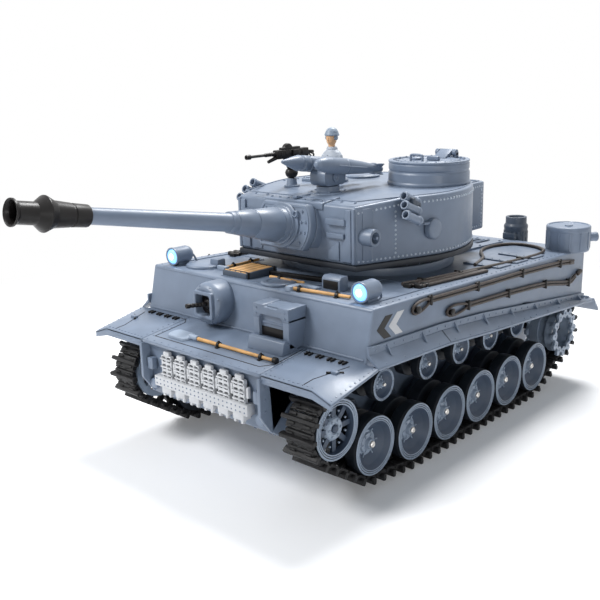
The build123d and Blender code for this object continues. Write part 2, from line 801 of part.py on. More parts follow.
def rod(start, end, radius, end_radius=None):
    """A round bar, or a cone, between two points."""
    along = Vector(*end) - Vector(*start)
    with BuildPart() as bar:
        with BuildSketch(Plane(origin=start, z_dir=tuple(along))):
            Circle(radius)
        if end_radius is None:
            extrude(amount=along.length)
        else:
            with BuildSketch(Plane(origin=end, z_dir=tuple(along))):
                Circle(end_radius)
            loft()
    return bar.part


def turned_between(start, direction, profile):
    """A solid of revolution; profile is (distance along direction, radius) points."""
    heading = Vector(*direction).normalized()
    across = heading.cross(Vector(0, 0, 1))
    if across.length < 0.01:
        across = Vector(1, 0, 0)
    with BuildPart() as turned:
        with BuildSketch(Plane(origin=start, x_dir=tuple(heading), z_dir=tuple(across))):
            with BuildLine():
                Polyline(*profile, close=True)
            make_face()
        revolve(axis=Axis(start, tuple(heading)))
    return turned.part


def cut_away(part, *tools):
    with BuildPart() as cut:
        add(part)
        for tool in tools:
            add(tool, mode=Mode.SUBTRACT)
    return cut.part


def joined(*parts):
    with BuildPart() as whole:
        for part in parts:
            add(part)
    return whole.part


with BuildPart() as stowage_bin:
    with BuildSketch(Plane.XY.offset(turret_floor_z)):
        with Locations((0, bin_rear_y)):
            RectangleRounded(2 * bin_half_width, 2 * (bin_rear_y - turret_y - turret_radius / 2), 5)
            Rectangle(3 * bin_half_width, 100, align=(Align.CENTER, Align.MIN), mode=Mode.SUBTRACT)
    extrude(amount=turret_front_roof_z - bin_drop - turret_floor_z)
    add(turret_form.part, mode=Mode.SUBTRACT)
save("stowage_bin", stowage_bin.part)

# ---------------------------------------------------------------- gun
gun_tilt = radians(gun_rest_angle)
gun_direction = (0, -cos(gun_tilt), sin(gun_tilt))
trunnion = (0, trunnion_y, trunnion_z)


def along_gun(distance):
    return (0, trunnion_y + distance * gun_direction[1], trunnion_z + distance * gun_direction[2])


def gun_face(distance):
    return Plane(origin=along_gun(distance), x_dir=(1, 0, 0), z_dir=gun_direction)


with BuildPart() as mantlet:
    neck = mantlet_half_height - mantlet_step
    blocks = ((mantlet_rear, mantlet_plate, neck), (mantlet_plate, mantlet_front, mantlet_half_height))
    for start, end, half_height in blocks:
        with BuildSketch(gun_face(start)):
            Circle(mantlet_radius)
            Rectangle(2 * mantlet_radius, 2 * half_height, mode=Mode.INTERSECT)
        extrude(amount=end - start)
    pin_reach = mantlet_radius + mantlet_gap + 0.4 + trunnion_lug
    with BuildSketch(axle_plane(-pin_reach, trunnion_y, trunnion_z)):
        Circle(trunnion_radius)
    extrude(amount=2 * pin_reach)
    with BuildSketch(gun_face(mantlet_front)):
        with GridLocations(1.34 * mantlet_radius, 1.34 * mantlet_half_height, 2, 2):
            RegularPolygon(1.3, 6)
    extrude(amount=1.0)
save("mantlet", mantlet.part)

flange_radius = 12.0
spigot_radius = 2.5
spigot_length = 8.0
save("gun_barrel", turned_between(trunnion, gun_direction, [
    (mantlet_front, 0), (mantlet_front, flange_radius), (mantlet_front + 1.4, flange_radius),
    (mantlet_front + 1.4, flange_radius - 1.8), (mantlet_front + 2.8, flange_radius - 1.8),
    (mantlet_front + 2.8, sleeve_rear_radius), (sleeve_front, sleeve_front_radius),
    (sleeve_front, barrel_rear_radius), (brake_rear, barrel_front_radius), (brake_rear, spigot_radius),
    (brake_rear + spigot_length, spigot_radius), (brake_rear + spigot_length, 0),
]))

bore_radius = 3.2
with BuildPart() as muzzle_brake:
    add(turned_between(along_gun(brake_rear), gun_direction, [
        (0, spigot_radius), (0, 3.9), (0.6, 4.6), (4.2, 4.6), (4.6, 3.9), (6, 3.9), (6.4, 4.6), (16.9, 5.5),
        (21.5, 7.7), (26.7, 4.7), (31.1, 4.7), (32, 5.8), (brake_length, 5.8), (brake_length, bore_radius),
        (spigot_length + 4, bore_radius), (spigot_length + 4, 0), (spigot_length, 0),
        (spigot_length, spigot_radius),
    ]))
save("muzzle_brake", muzzle_brake.part)

# ---------------------------------------------------------------- cupola and hatch
recess_z = cupola_top_z - hatch_thickness - 0.4
hinge_y = cupola_y + hatch_radius + hatch_gap + 0.2
hinge_z = cupola_top_z + hinge_radius + 0.4
with BuildPart() as cupola:
    add(upright(cupola_x, cupola_y, roof_z, cupola_radius, cupola_step_z - roof_z))
    add(upright(cupola_x, cupola_y, cupola_step_z, cupola_radius - 1.4, cupola_top_z - cupola_step_z))
    add(upright(cupola_x, cupola_y, recess_z, hatch_radius + hatch_gap, cupola_top_z), mode=Mode.SUBTRACT)
    for side in (1, -1):
        with BuildSketch(axle_plane(cupola_x + side * 4.6, hinge_y, hinge_z)):
            Circle(hinge_radius)
            with Locations((0.4 * hinge_radius, -hinge_radius - 0.6)):
                Rectangle(1.2 * hinge_radius, hinge_radius)
            make_hull()
        extrude(amount=side * 2.4)
    with BuildSketch(axle_plane(cupola_x - 6, hinge_y, hinge_z)):
        Circle(hinge_pin_radius)
    extrude(amount=12)
save("cupola", cupola.part)

with BuildPart() as hatch:
    add(upright(cupola_x, cupola_y, recess_z + running_gap, hatch_radius, hatch_thickness))
    with BuildSketch(axle_plane(cupola_x - 4.2, hinge_y, hinge_z)):
        Circle(hinge_radius)
        with BuildLine():
            Polyline((0, hinge_radius), (-9, recess_z + hatch_thickness - hinge_z),
                     (-5, recess_z + 1 - hinge_z),
                     (-3, 0.8 - hinge_radius), close=True)
        make_face()
        Circle(hinge_pin_radius + shaft_gap, mode=Mode.SUBTRACT)
    extrude(amount=8.4)
    lid_top = recess_z + running_gap + hatch_thickness
    add(upright(cupola_x - 6, cupola_y - 4, lid_top, 3.0, 1.6))
    add(box_at(cupola_x + 5, cupola_y - 3, lid_top, 8, 2.4, 2.6))
    for side in (1, -1):
        add(box_at(cupola_x + side * 4 - 1, cupola_y - 11, lid_top, 1.2, 1.6, 2.2))
    add(box_at(cupola_x - 1, cupola_y - 11, lid_top + 2.2, 9.2, 1.6, 1.2))
save("cupola_hatch", hatch.part)

# ---------------------------------------------------------------- roof weapons and crew
roof_mount_radius = 1.5
turret_mount = cut_away(
    upright(gunner_post_x, gunner_post_y, roof_z - 1, 3.2, gunner_post_top_z - roof_z + 1),
    upright(gunner_post_x, gunner_post_y, gunner_post_top_z - 4, roof_mount_radius + shaft_gap, 5))
pod_base = joined(
    upright(pod_x, pod_y, turret_front_roof_z, 11.6, roof_z - turret_front_roof_z + 1.2),
    upright(pod_x, pod_y, turret_front_roof_z, pod_drum_radius, pod_drum_top_z - turret_front_roof_z))
pod_base = cut_away(pod_base, turret_form.part,
                    upright(pod_x, pod_y, pod_drum_top_z - 3, roof_mount_radius + shaft_gap, 4))
save("pod_pedestal", pod_base, cut_away(turret_mount, turret_form.part))

with BuildPart() as roof_gun:
    add(upright(gunner_post_x, gunner_post_y, gunner_post_top_z - 3.6, roof_mount_radius, 5))
    add(turned_between((gunner_post_x, gunner_post_y, gunner_post_top_z + running_gap), (0, 0, 1), [
        (0, 0), (0, 2.2), (1.4, 3.4), (3, 3.8), (4.6, 3.2), (5.6, 2), (5.6, 0)]))
    for reach in (-6, 6):
        add(rod((gunner_post_x, gunner_post_y, gunner_post_top_z + 4),
                (gunner_post_x, gunner_post_y + reach, gunner_z - 2), 1.5))
    add(box_at(gunner_post_x, gunner_post_y, gunner_z - 3, 4.2, 26, 5))
    add(box_at(gunner_post_x, gunner_post_y - 1, gunner_z + 1.6, 3, 15, 1.6))
    add(rod((gunner_post_x, gunner_post_y - 12, gunner_z),
            (gunner_post_x, gunner_post_y - 35.8, gunner_z), 1.4))
    add(rod((gunner_post_x, gunner_post_y - 12, gunner_z - 2),
            (gunner_post_x, gunner_post_y - 19, gunner_z - 4), 1.2))
    add(rod((gunner_post_x, gunner_post_y + 12, gunner_z - 0.4),
            (gunner_post_x, gunner_post_y + 19, gunner_z - 1), 1.1))
save("roof_machine_gun", roof_gun.part)

pod_lean = radians(pod_pitch)
pod_heading = (0, -cos(pod_lean), sin(pod_lean))
with BuildPart() as weapon_pod:
    housing_z = pod_drum_top_z + running_gap
    add(upright(pod_x, pod_y, pod_drum_top_z - 2.7, roof_mount_radius, 4))
    with BuildSketch(axle_plane(pod_x - 5.5, pod_y, housing_z)):
        with Locations((0, 4.6)):
            RectangleRounded(18, 9.2, 3.4)
        with Locations((0, 6.5)):
            Rectangle(18, 5.4)
    extrude(amount=11)
    for side, nose in ((-1, 29.5), (1, 19.0)):
        centre = (pod_x + side * pod_spread, pod_y, housing_z + 10.8)
        add(turned_between(centre, pod_heading, [
            (-38.5, 0), (-38.5, 2.2), (-34.5, 2.2), (-34, 3.0), (-28, pod_radius), (nose - 12, pod_radius),
            (nose - 5, 0.75 * pod_radius), (nose, 1.2), (nose, 0)]))
        add(box_at(pod_x + side * pod_spread / 2, pod_y, housing_z + 7.4, pod_spread, 14, 4.6))
save("weapon_pod", weapon_pod.part)

with BuildPart() as crew:
    add(upright(crew_x, crew_y, roof_z, crew_ring_radius, 2.2))
    for height, half_width, half_depth in ((0, 7.4, 4.8), (13, 7.6, 5.0), (17.5, 6.0, 4.2), (20.5, 2.6, 2.6)):
        with BuildSketch(Plane(origin=(crew_x, crew_y, roof_z + height))) as slice_of_body:
            Rectangle(2 * half_width, 2 * half_depth)
            chamfer(slice_of_body.vertices(), 0.4 * half_depth)
    loft(ruled=True)
    add(turned_between((crew_x, crew_y, roof_z + 19), (0, 0, 1), [
        (0, 0), (0, 2), (4, 2.2), (6, 3.3), (9, 3.5), (9, 4.4), (11, 4.0), (13, 0.8), (13, 0)]))
    for side in (1, -1):
        elbow = (crew_x + side * 9.2, crew_y - 1, roof_z + 7)
        add(rod((crew_x + side * 6.2, crew_y, roof_z + 15.4), elbow, 2.2))
        add(rod(elbow, (crew_x + side * 5, crew_y - 8, roof_z + 3.8), 1.8))
save("crew_figure", crew.part)

# ---------------------------------------------------------------- smoke launchers
launcher_lean = radians(launcher_pitch)
launcher_back = (0, cos(launcher_lean), -sin(launcher_lean))
tubes = [turned_between(mouth, launcher_back, [
    (0, 0.62 * launcher_radius), (0, launcher_radius),
    (launcher_length, launcher_radius), (launcher_length, 0),
    (launcher_length - 3, 0), (launcher_length - 3, 0.62 * launcher_radius)]) for mouth in launcher_mouths]
top_mouth, low_mouth = launcher_mouths[0], launcher_mouths[-1]
bracket = box_at(top_mouth[0] - 1, top_mouth[1] + 5, low_mouth[2] - 3, 9, 3, top_mouth[2] - low_mouth[2])
launcher = cut_away(joined(*tubes, bracket), turret_form.part)
save("smoke_launchers", launcher, mirrored(launcher))

# ---------------------------------------------------------------- front plate fittings
below_glacis = extruded_side([
    (glacis_front_y, glacis_front_z), (glacis_rear_y + 1, glacis_z(glacis_rear_y + 1)),
    (glacis_rear_y + 1, glacis_rear_z - 6 * wall), (glacis_front_y, glacis_front_z - 6 * wall)],
    glacis_half_width)

with BuildPart() as visor:
    visor_length = glacis_rear_y + 10 - visor_front_y
    add(box_at(visor_x, visor_front_y + visor_length / 2, visor_bottom_z, visor_width - 3, visor_length,
               visor_top_z - 3 - visor_bottom_z))
    add(box_at(visor_x, visor_front_y + visor_length / 2 - 0.8, visor_top_z - 4,
               visor_width, visor_length, 4))
    add(box_at(visor_x, visor_front_y, visor_bottom_z + 4.5, visor_width - 8, 4, 3), mode=Mode.SUBTRACT)
    with BuildSketch(Plane.YZ.offset(visor_x - visor_width / 2 - 1.5)):
        with BuildLine():
            Polyline((visor_front_y - 5, glacis_front_z), (visor_front_y - 3.6, visor_bottom_z + 3.6),
                     (visor_front_y - 0.6, visor_bottom_z + 4), (visor_front_y + 6.4, glacis_front_z),
                     close=True)
        make_face()
    extrude(amount=visor_width + 1)
save("driver_visor", cut_away(visor.part, hull_form, below_glacis))

with BuildPart() as hull_gun:
    depth = glacis_rear_y + 6 - hull_gun_front_y
    add(turned_between((hull_gun_x, hull_gun_front_y, hull_gun_z), (0, 1, 0), [
        (0, 0), (0, 0.8 * hull_gun_radius), (1.2, 0.93 * hull_gun_radius), (3.5, hull_gun_radius),
        (depth, hull_gun_radius), (depth, 0)]))
    add(box_at(hull_gun_x, hull_gun_front_y, hull_gun_z - 5.4, 10.8, 8, 10.8), mode=Mode.SUBTRACT)
    add(turned_between((hull_gun_x, hull_gun_front_y + 5, hull_gun_z), (0, -1, 0), [
        (0, 0), (0, 4), (2, 3.6), (3.6, 2.2), (4, 0)]))
    muzzle = (hull_gun_x - 4, hull_gun_front_y - 10.4, hull_gun_z + 0.6)
    add(rod((hull_gun_x, hull_gun_front_y + 3, hull_gun_z), muzzle, 1.2))
    add(hull_form, mode=Mode.SUBTRACT)
save("hull_machine_gun", hull_gun.part)

lens_depth = 1.6
housing = cut_away(joined(
    turned_between((headlight_x, headlight_y, headlight_z), (0, 1, 0), [
        (lens_depth, 0), (lens_depth, headlight_radius - 0.8),
        (0, headlight_radius - 0.8), (0, headlight_radius),
        (headlight_length - 3, headlight_radius), (headlight_length, headlight_radius - 2),
        (headlight_length, 0)]),
    box_at(headlight_x, headlight_y + headlight_length / 2, deck_rear_z, 6, 8, headlight_z - deck_rear_z - 2),
), hull_form)
save("headlight_housings", housing, mirrored(housing))
lens = turned_between((headlight_x, headlight_y + lens_depth, headlight_z), (0, -1, 0), [
    (0, 0), (0, headlight_radius - 0.8), (1.4, headlight_radius - 0.8),
    (2.4, 0.5 * headlight_radius), (2.7, 0)])
save("headlight_lenses", lens, mirrored(lens))

# ---------------------------------------------------------------- spare track links on the nose
nose_slope = (nose_bottom_y - nose_top_y) / (nose_bottom_z - under_glacis)
nose_plate_y = nose_top_y + nose_slope * (rack_top_z - under_glacis)
rack_depth = nose_plate_y + 3 - rack_front_y
rack_middle_y = rack_front_y + rack_depth / 2
rack_parts = [box_at(0, rack_middle_y, rack_bottom_z,
                     2 * rack_half_width, rack_depth, rack_top_z - rack_bottom_z)]
for i in range(spare_links):
    link_x = (i - (spare_links - 1) / 2) * spare_pitch + 1.5
    rack_parts.append(box_at(link_x, rack_middle_y + 0.3, rack_bottom_z - 3,
                             0.72 * spare_pitch, rack_depth, 4))
    with BuildPart() as spare:
        with BuildSketch(Plane.XZ.offset(-rack_front_y - 1)):
            with Locations((link_x, rack_top_z + spare_height / 2 - 0.5)):
                Rectangle(spare_width, spare_height + 1)
                with GridLocations(spare_width / 2, spare_height / 3, 2, 3):
                    Rectangle(0.3 * spare_width, 0.2 * spare_height, mode=Mode.SUBTRACT)
            with Locations((link_x, rack_top_z + spare_height + 1.2)):
                Rectangle(0.6 * spare_width, 2.4)
        extrude(amount=-2.4)
    rack_parts += [spare.part, box_at(link_x, nose_plate_y - 1, rack_top_z + 4, 3, 5.4, 3)]
rack = cut_away(joined(*rack_parts), extruded_side(tub_outline, tub_half_width))
save("spare_link_rack", rack)

# ---------------------------------------------------------------- tools on the glacis and front deck
def held_tool(start, end, surface, clamp_at):
    """A round handle lying on a surface, with a small clamp at each given fraction of its length."""
    lift = 1.1 * tool_radius
    points = [(x, y, surface(y) + lift) for x, y in (start, end)]
    clamps = []
    for part_way in clamp_at:
        x = start[0] + part_way * (end[0] - start[0])
        y = start[1] + part_way * (end[1] - start[1])
        clamps.append(box_at(x, y, surface(y) - 1, 2.2, 4.4, 2.2 * tool_radius + 1.6))
    return joined(rod(points[0], points[1], tool_radius), *clamps)


blade_z = glacis_z(shovel_y)
with BuildPart() as shovel_blade:
    with BuildSketch(Plane(origin=(-26, shovel_y, blade_z - 1))):
        Ellipse(8.5, 4.4)
    extrude(amount=2.6)
tools = [
    held_tool((-20, shovel_y), (43, shovel_y), glacis_z, (0.33, 0.83)),
    shovel_blade.part,
    held_tool((22, -50.2), (60, -45.6), deck_z, (0.2, 0.8)),
    box_at(25, -48, deck_rear_z, 3, 9, deck_z(-48) + 2.6 - deck_rear_z),
    held_tool((-37, -38), (-42, -6), deck_z, (0.25, 0.75)),
    box_at(-38, -38, deck_rear_z, 8, 3, deck_z(-38) + 2.6 - deck_rear_z),
    box_at(-18, -36.7, deck_rear_z, 18.5, 24, deck_z(-24.7) + 4.3 - deck_rear_z),
    upright(10, -43, deck_rear_z, 9.5, deck_z(-33) + 1.6 - deck_rear_z),
    box_at(41, -34.7, deck_rear_z, 12, 7, deck_z(-34.7) + 8 - deck_rear_z),
]
save("deck_tools", *[cut_away(tool, hull_form, below_glacis) for tool in tools])

# ---------------------------------------------------------------- tow cables
def cable(points):
    with BuildPart() as strand:
        with BuildLine() as route:
            Polyline(*points)
        with BuildSketch(Plane(origin=route.line @ 0, z_dir=route.line % 0)):
            RegularPolygon(cable_radius, 6)
        sweep(transition=Transition.RIGHT)
    return strand.part


def eye(x, y, z, normal):
    with BuildPart() as ring:
        with BuildSketch(Plane(origin=(x, y, z), z_dir=normal)):
            RegularPolygon(3.4, 8)
            RegularPolygon(1.7, 8, mode=Mode.SUBTRACT)
        extrude(amount=0.8, both=True)
    return ring.part


side_x = hull_half_width + cable_radius + 0.2
side_routes = [
    [(-22, 88.5), (-10, 90.6), (34, 88.6), (82, 86.7), (129, 83.8), (148, 81.6)],
    [(8, 80.6), (25, 80.3), (67, 78.0), (111, 74.5), (142, 69.5), (152, 72)],
]
cable_parts = []
for route in side_routes:
    strand = [(side_x, y, min(z, deck_z(y) - 2.4)) for y, z in route]
    cable_parts.append(cable(strand))
    cable_parts += [eye(*strand[0], (1, 0, 0)), eye(*strand[-1], (1, 0, 0))]
    for x, y, z in strand[1:-1]:
        clip_reach = side_x + 1.4 - hull_half_width
        cable_parts.append(box_at(hull_half_width, y, z - clip_size / 2,
                                  2 * clip_reach, clip_size, clip_size))
deck_route = [(60, -4), (64, 22), (70, 85), (70, 126), (60, 143),
              (42, 146), (35, 130), (38, 110), (52, 88), (60, 66)]
deck_strand = [(x, y, deck_z(y) + cable_radius) for x, y in deck_route]
cable_parts += [cable(deck_strand), eye(*deck_strand[0], (0, 0, 1)), eye(*deck_strand[-1], (0, 0, 1))]
for x, y, z in (deck_strand[1], deck_strand[3], deck_strand[6]):
    cable_parts.append(box_at(x, y, z - 3, clip_size + 1, clip_size, 3 + 1.2 * cable_radius))
cables = cut_away(joined(*cable_parts), hull_form)
save("tow_cables", cables, mirrored(cables))

# ---------------------------------------------------------------- engine deck
with BuildPart() as engine_deck:
    hatch_rear_y = deck_rear_y - 2 * cleaner_inset
    grille_half_width = 31.0
    plate_rise = 1.4
    hatch_front_y = turret_y + collar_radius + collar_width + 2
    with BuildSketch(Plane(origin=(0, (hatch_front_y + hatch_rear_y) / 2, deck_rear_z))):
        RectangleRounded(2 * grille_half_width, hatch_rear_y - hatch_front_y, 4)
    extrude(amount=deck_z(hatch_front_y) + plate_rise - deck_rear_z)
    with BuildSketch(Plane.YZ):
        with BuildLine():
            Polyline((0, deck_z(0) + plate_rise), (deck_rear_y, deck_z(deck_rear_y) + plate_rise),
                     (deck_rear_y, deck_z(0) + 9), (0, deck_z(0) + 9), close=True)
        make_face()
    extrude(amount=hull_half_width, both=True, mode=Mode.SUBTRACT)
    slot_plane = Plane(origin=(0, (turret_y + ring_radius + hatch_rear_y) / 2 + 8, deck_z(hatch_rear_y)))
    with BuildSketch(slot_plane):
        with GridLocations(grille_half_width, 4.4, 2, 8):
            Rectangle(0.78 * grille_half_width, 2.0)
    extrude(amount=10, mode=Mode.SUBTRACT)
    add(hull_form, mode=Mode.SUBTRACT)
save("engine_deck", engine_deck.part)

# ---------------------------------------------------------------- exhausts and air cleaners
with BuildPart() as exhaust:
    add(upright(exhaust_x, exhaust_y, exhaust_bottom_z, exhaust_radius, exhaust_top_z - exhaust_bottom_z - 2))
    add(upright(exhaust_x, exhaust_y, exhaust_top_z - 2, exhaust_radius - 1.2, 2))
    add(upright(exhaust_x, exhaust_y, exhaust_top_z - 7, exhaust_radius - 3, 7), mode=Mode.SUBTRACT)
    for z in (exhaust_bottom_z + 6, deck_rear_z - 10):
        add(box_at(exhaust_x, (deck_rear_y + exhaust_y) / 2, z, 8, exhaust_y - deck_rear_y, 4))
save("exhausts", exhaust.part, mirrored(exhaust.part))

with BuildPart() as cleaner:
    cleaner_base = deck_rear_z - 1
    add(upright(cleaner_x, cleaner_y, cleaner_base, cleaner_radius, cleaner_top_z - 1.6 - cleaner_base))
    add(upright(cleaner_x, cleaner_y, cleaner_top_z - 1.6, cleaner_radius - 1.6, 1.6))
    add(rod((cleaner_x, cleaner_y, cleaner_top_z - 6),
            (cleaner_x + 12, cleaner_y + 15.5, cleaner_top_z - 6), 3.0))
    add(hull_form, mode=Mode.SUBTRACT)
save("air_cleaners", cleaner.part, mirrored(cleaner.part))
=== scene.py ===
import json
from math import acos, asin, atan2, cos, hypot, pi, radians, sin

import bmesh
import bpy
from mathutils import Matrix, Vector


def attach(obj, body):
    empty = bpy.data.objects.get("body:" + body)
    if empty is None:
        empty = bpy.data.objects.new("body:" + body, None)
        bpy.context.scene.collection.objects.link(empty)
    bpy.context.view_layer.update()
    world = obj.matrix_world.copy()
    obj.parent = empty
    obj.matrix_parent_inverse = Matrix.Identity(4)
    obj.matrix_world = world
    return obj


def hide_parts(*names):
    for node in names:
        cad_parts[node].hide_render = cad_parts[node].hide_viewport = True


# Toy battle tank.  Shapes are in millimetres: +Z up, the gun looks along -Y, +X is the tank's left side.
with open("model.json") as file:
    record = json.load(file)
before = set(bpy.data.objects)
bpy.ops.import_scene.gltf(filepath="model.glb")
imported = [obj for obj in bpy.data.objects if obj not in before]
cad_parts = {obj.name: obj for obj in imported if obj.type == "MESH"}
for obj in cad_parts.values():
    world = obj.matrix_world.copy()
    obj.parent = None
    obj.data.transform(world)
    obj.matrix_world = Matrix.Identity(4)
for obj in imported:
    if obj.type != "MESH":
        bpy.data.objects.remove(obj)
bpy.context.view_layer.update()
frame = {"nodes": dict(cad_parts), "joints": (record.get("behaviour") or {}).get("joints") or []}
scene = bpy.context.scene
MM = 0.001
ORIGIN, UP, LEFT, AHEAD, BACK = (0, 0, 0), (0, 0, 1), (1, 0, 0), (0, -1, 0), (0, 1, 0)
joint_places = {joint["name"]: [v / MM for v in joint["pos_m"]] for joint in frame["joints"]}
carrier = bpy.data.meshes.new("carrier")      # takes shapes from one bmesh to another


# ---------------------------------------------------------------- shapes
class Shape:
    """One bmesh, copied whenever it is moved, mirrored, bevelled or given a finish."""

    def __init__(self, bm):
        self.bm = bm

    def __add__(self, other):
        return gather([self, other])

    def moved(self, matrix):
        bm = self.bm.copy()
        bmesh.ops.transform(bm, matrix=matrix, verts=bm.verts)
        if matrix.determinant() < 0:
            bmesh.ops.reverse_faces(bm, faces=bm.faces)
        return Shape(bm)

    def at(self, x, y, z):
        return self.moved(Matrix.Translation((x, y, z)))

    def turned(self, angle, axis):
        return self.moved(Matrix.Rotation(angle, 4, axis))

    def other_side(self):
        return self.moved(Matrix.Scale(-1, 4, LEFT))

    def both_sides(self):
        return self + self.other_side()

    def finish(self, number):
        bm = self.bm.copy()
        for face in bm.faces:
            face.material_index = number
        return Shape(bm)

    def bevelled(self, width, segments=2, limit=30):
        bm = self.bm.copy()
        sharp = [e for e in bm.edges if len(e.link_faces) == 2 and e.calc_face_angle() > radians(limit)]
        bmesh.ops.bevel(bm, geom=sharp, offset=width, offset_type="OFFSET", segments=segments, profile=0.5,
                        affect="EDGES", clamp_overlap=True, material=-1)
        return Shape(bm)


def gather(shapes):
    whole = bmesh.new()
    for shape in shapes:
        shape.bm.to_mesh(carrier)
        whole.from_mesh(carrier)
    return Shape(whole)


def new_corners(grown):
    return [g for g in grown["geom"] if isinstance(g, bmesh.types.BMVert)]


def axes(direction):
    """Three unit vectors: direction, and two square to it, the last as upright as it can be."""
    along = Vector(direction).normalized()
    side = along.cross(Vector(UP))
    if side.length < 1e-3:
        side = along.cross(Vector(LEFT))
    side.normalize()
    return along, side, side.cross(along)


def prism(loops, origin, u, v, w):
    """Flat loops of (u, v) points, the first the outline and the others holes, pushed along w."""
    if not isinstance(loops[0][0], (tuple, list)):
        loops = [loops]
    origin, u, v, w = (Vector(a) for a in (origin, u, v, w))
    bm = bmesh.new()
    edges = []
    for loop in loops:
        corners = [bm.verts.new(origin + u * a + v * b) for a, b in loop]
        if len(loops) == 1:
            bm.faces.new(corners)
        else:
            edges += [bm.edges.new(pair) for pair in zip(corners, corners[1:] + corners[:1])]
    if edges:
        bmesh.ops.triangle_fill(bm, edges=edges, use_beauty=True, normal=w.normalized())
    grown = bmesh.ops.extrude_face_region(bm, geom=bm.faces[:])
    bmesh.ops.translate(bm, vec=w, verts=new_corners(grown))
    bmesh.ops.recalc_face_normals(bm, faces=bm.faces)
    return Shape(bm)


def side_prism(loops, x0, x1):
    """Loops of (y, z) points in side view, from x0 to x1."""
    return prism(loops, (x0, 0, 0), BACK, UP, (x1 - x0, 0, 0))


def flat_prism(loops, z0, z1):
    """Loops of (x, y) points seen from above, from z0 to z1."""
    return prism(loops, (0, 0, z0), LEFT, BACK, (0, 0, z1 - z0))


def front_prism(loops, y0, y1):
    """Loops of (x, z) points seen from the front, from y0 to y1."""
    return prism(loops, (0, y0, 0), LEFT, UP, (0, y1 - y0, 0))


def block(x, y, z, width, length, height, bevel=0.3):
    """A block centred on x and y and standing on z."""
    bm = bmesh.new()
    bmesh.ops.create_cube(bm, size=1, matrix=Matrix.Translation((x, y, z + height / 2))
                          @ Matrix.Diagonal((width, length, height, 1)))
    return Shape(bm).bevelled(bevel) if bevel else Shape(bm)


def lathe(profile, origin, direction, steps=48):
    """A solid of revolution; profile is (along direction, radius) points."""
    along, _, up = axes(direction)
    origin = Vector(origin)
    bm = bmesh.new()
    line = [bm.verts.new(origin + along * t + up * r) for t, r in profile]
    for pair in zip(line, line[1:]):
        bm.edges.new(pair)
    bmesh.ops.spin(bm, geom=bm.verts[:] + bm.edges[:], cent=origin, axis=along, angle=2 * pi, steps=steps,
                   use_merge=True)
    bmesh.ops.remove_doubles(bm, verts=bm.verts, dist=1e-4)
    bmesh.ops.recalc_face_normals(bm, faces=bm.faces)
    return Shape(bm)


def rounded(profile, size=0.3):
    """The profile with each corner cut, so that turned edges catch the light."""
    points = [profile[0]]
    for before, corner, after in zip(profile, profile[1:], profile[2:]):
        middle = Vector(corner)
        back, ahead = Vector(before) - middle, Vector(after) - middle
        cut = min(size, back.length / 2.2, ahead.length / 2.2)
        if cut < 0.02 or corner[1] < 1e-6:
            points.append(corner)
            continue
        back, ahead = back.normalized() * cut, ahead.normalized() * cut
        points += [tuple(middle + back), tuple(middle + (back + ahead) * 0.3), tuple(middle + ahead)]
    points.append(profile[-1])
    return points


def rod(start, end, radius, end_radius=None, steps=16, bevel=0.25):
    length = (Vector(end) - Vector(start)).length
    far = radius if end_radius is None else end_radius
    cut = min(bevel, radius * 0.6, far * 0.6)
    return lathe([(0, 0), (0, radius - cut), (cut, radius), (length - cut, far), (length, far - cut),
                  (length, 0)],
                 start, Vector(end) - Vector(start), steps)


def tube(points, radius, steps=12):
    """A round cord through points, with closed ends."""
    points = [Vector(p) for p in points]
    runs = [(b - a).normalized() for a, b in zip(points, points[1:])]
    ways = [runs[0]] + [(a + b).normalized() for a, b in zip(runs, runs[1:])] + [runs[-1]]
    along, side, up = axes(ways[0])
    bm = bmesh.new()
    bmesh.ops.create_circle(bm, cap_ends=True, segments=steps, radius=radius,
                            matrix=Matrix.Translation(points[0])
                            @ Matrix((up, side, along)).transposed().to_4x4())
    edges = bm.edges[:]
    for here, way, there, onward in zip(points, ways, points[1:], ways[1:]):
        grown = bmesh.ops.extrude_edge_only(bm, edges=edges)
        edges = [g for g in grown["geom"] if isinstance(g, bmesh.types.BMEdge)]
        turn = way.rotation_difference(onward).to_matrix().to_4x4()
        bmesh.ops.transform(bm, matrix=Matrix.Translation(there) @ turn @ Matrix.Translation(-here),
                            verts=new_corners(grown))
    bmesh.ops.edgeloop_fill(bm, edges=edges)
    bmesh.ops.recalc_face_normals(bm, faces=bm.faces)
    return Shape(bm)


def smooth_path(points, steps=6):
    """Catmull-Rom curve through points."""
    points = [Vector(p) for p in points]
    full = [points[0] * 2 - points[1]] + points + [points[-1] * 2 - points[-2]]
    path = []
    for a, b, c, d in zip(full, full[1:], full[2:], full[3:]):
        for k in range(steps):
            t = k / steps
            path.append(0.5 * (2 * b + (c - a) * t + (2 * a - 5 * b + 4 * c - d) * t * t
                               + (3 * b - a - 3 * c + d) * t ** 3))
    return path + [points[-1]]


def skin(sections):
    """A solid grown from one flat outline to the next; every outline has as many corners."""
    bm = bmesh.new()
    face = bm.faces.new([bm.verts.new(p) for p in sections[0]])
    for before, after in zip(sections, sections[1:]):
        grown = bmesh.ops.extrude_face_region(bm, geom=[face])
        face = next(g for g in grown["geom"] if isinstance(g, bmesh.types.BMFace))
        for corner in face.verts:
            corner.co = after[min(range(len(before)), key=lambda i: (Vector(before[i]) - corner.co).length)]
    bmesh.ops.recalc_face_normals(bm, faces=bm.faces)
    return Shape(bm)


def bolt(place, normal, radius=0.7, height=0.5, sides=6):
    return lathe([(-0.1, 0), (-0.1, radius), (height * 0.6, radius), (height, radius * 0.75), (height, 0)],
                 place, normal, sides)


def rivet(place, normal, radius=0.45, height=0.3):
    return lathe([(-0.05, 0), (-0.05, radius), (height * 0.7, radius * 0.7), (height, 0)], place, normal, 8)


def row(shape, start, end, count):
    """Copies of a shape made at the origin, spaced evenly from start to end."""
    start, end = Vector(start), Vector(end)
    return gather([shape.at(*(start + (end - start) * i / max(1, count - 1))) for i in range(count)])


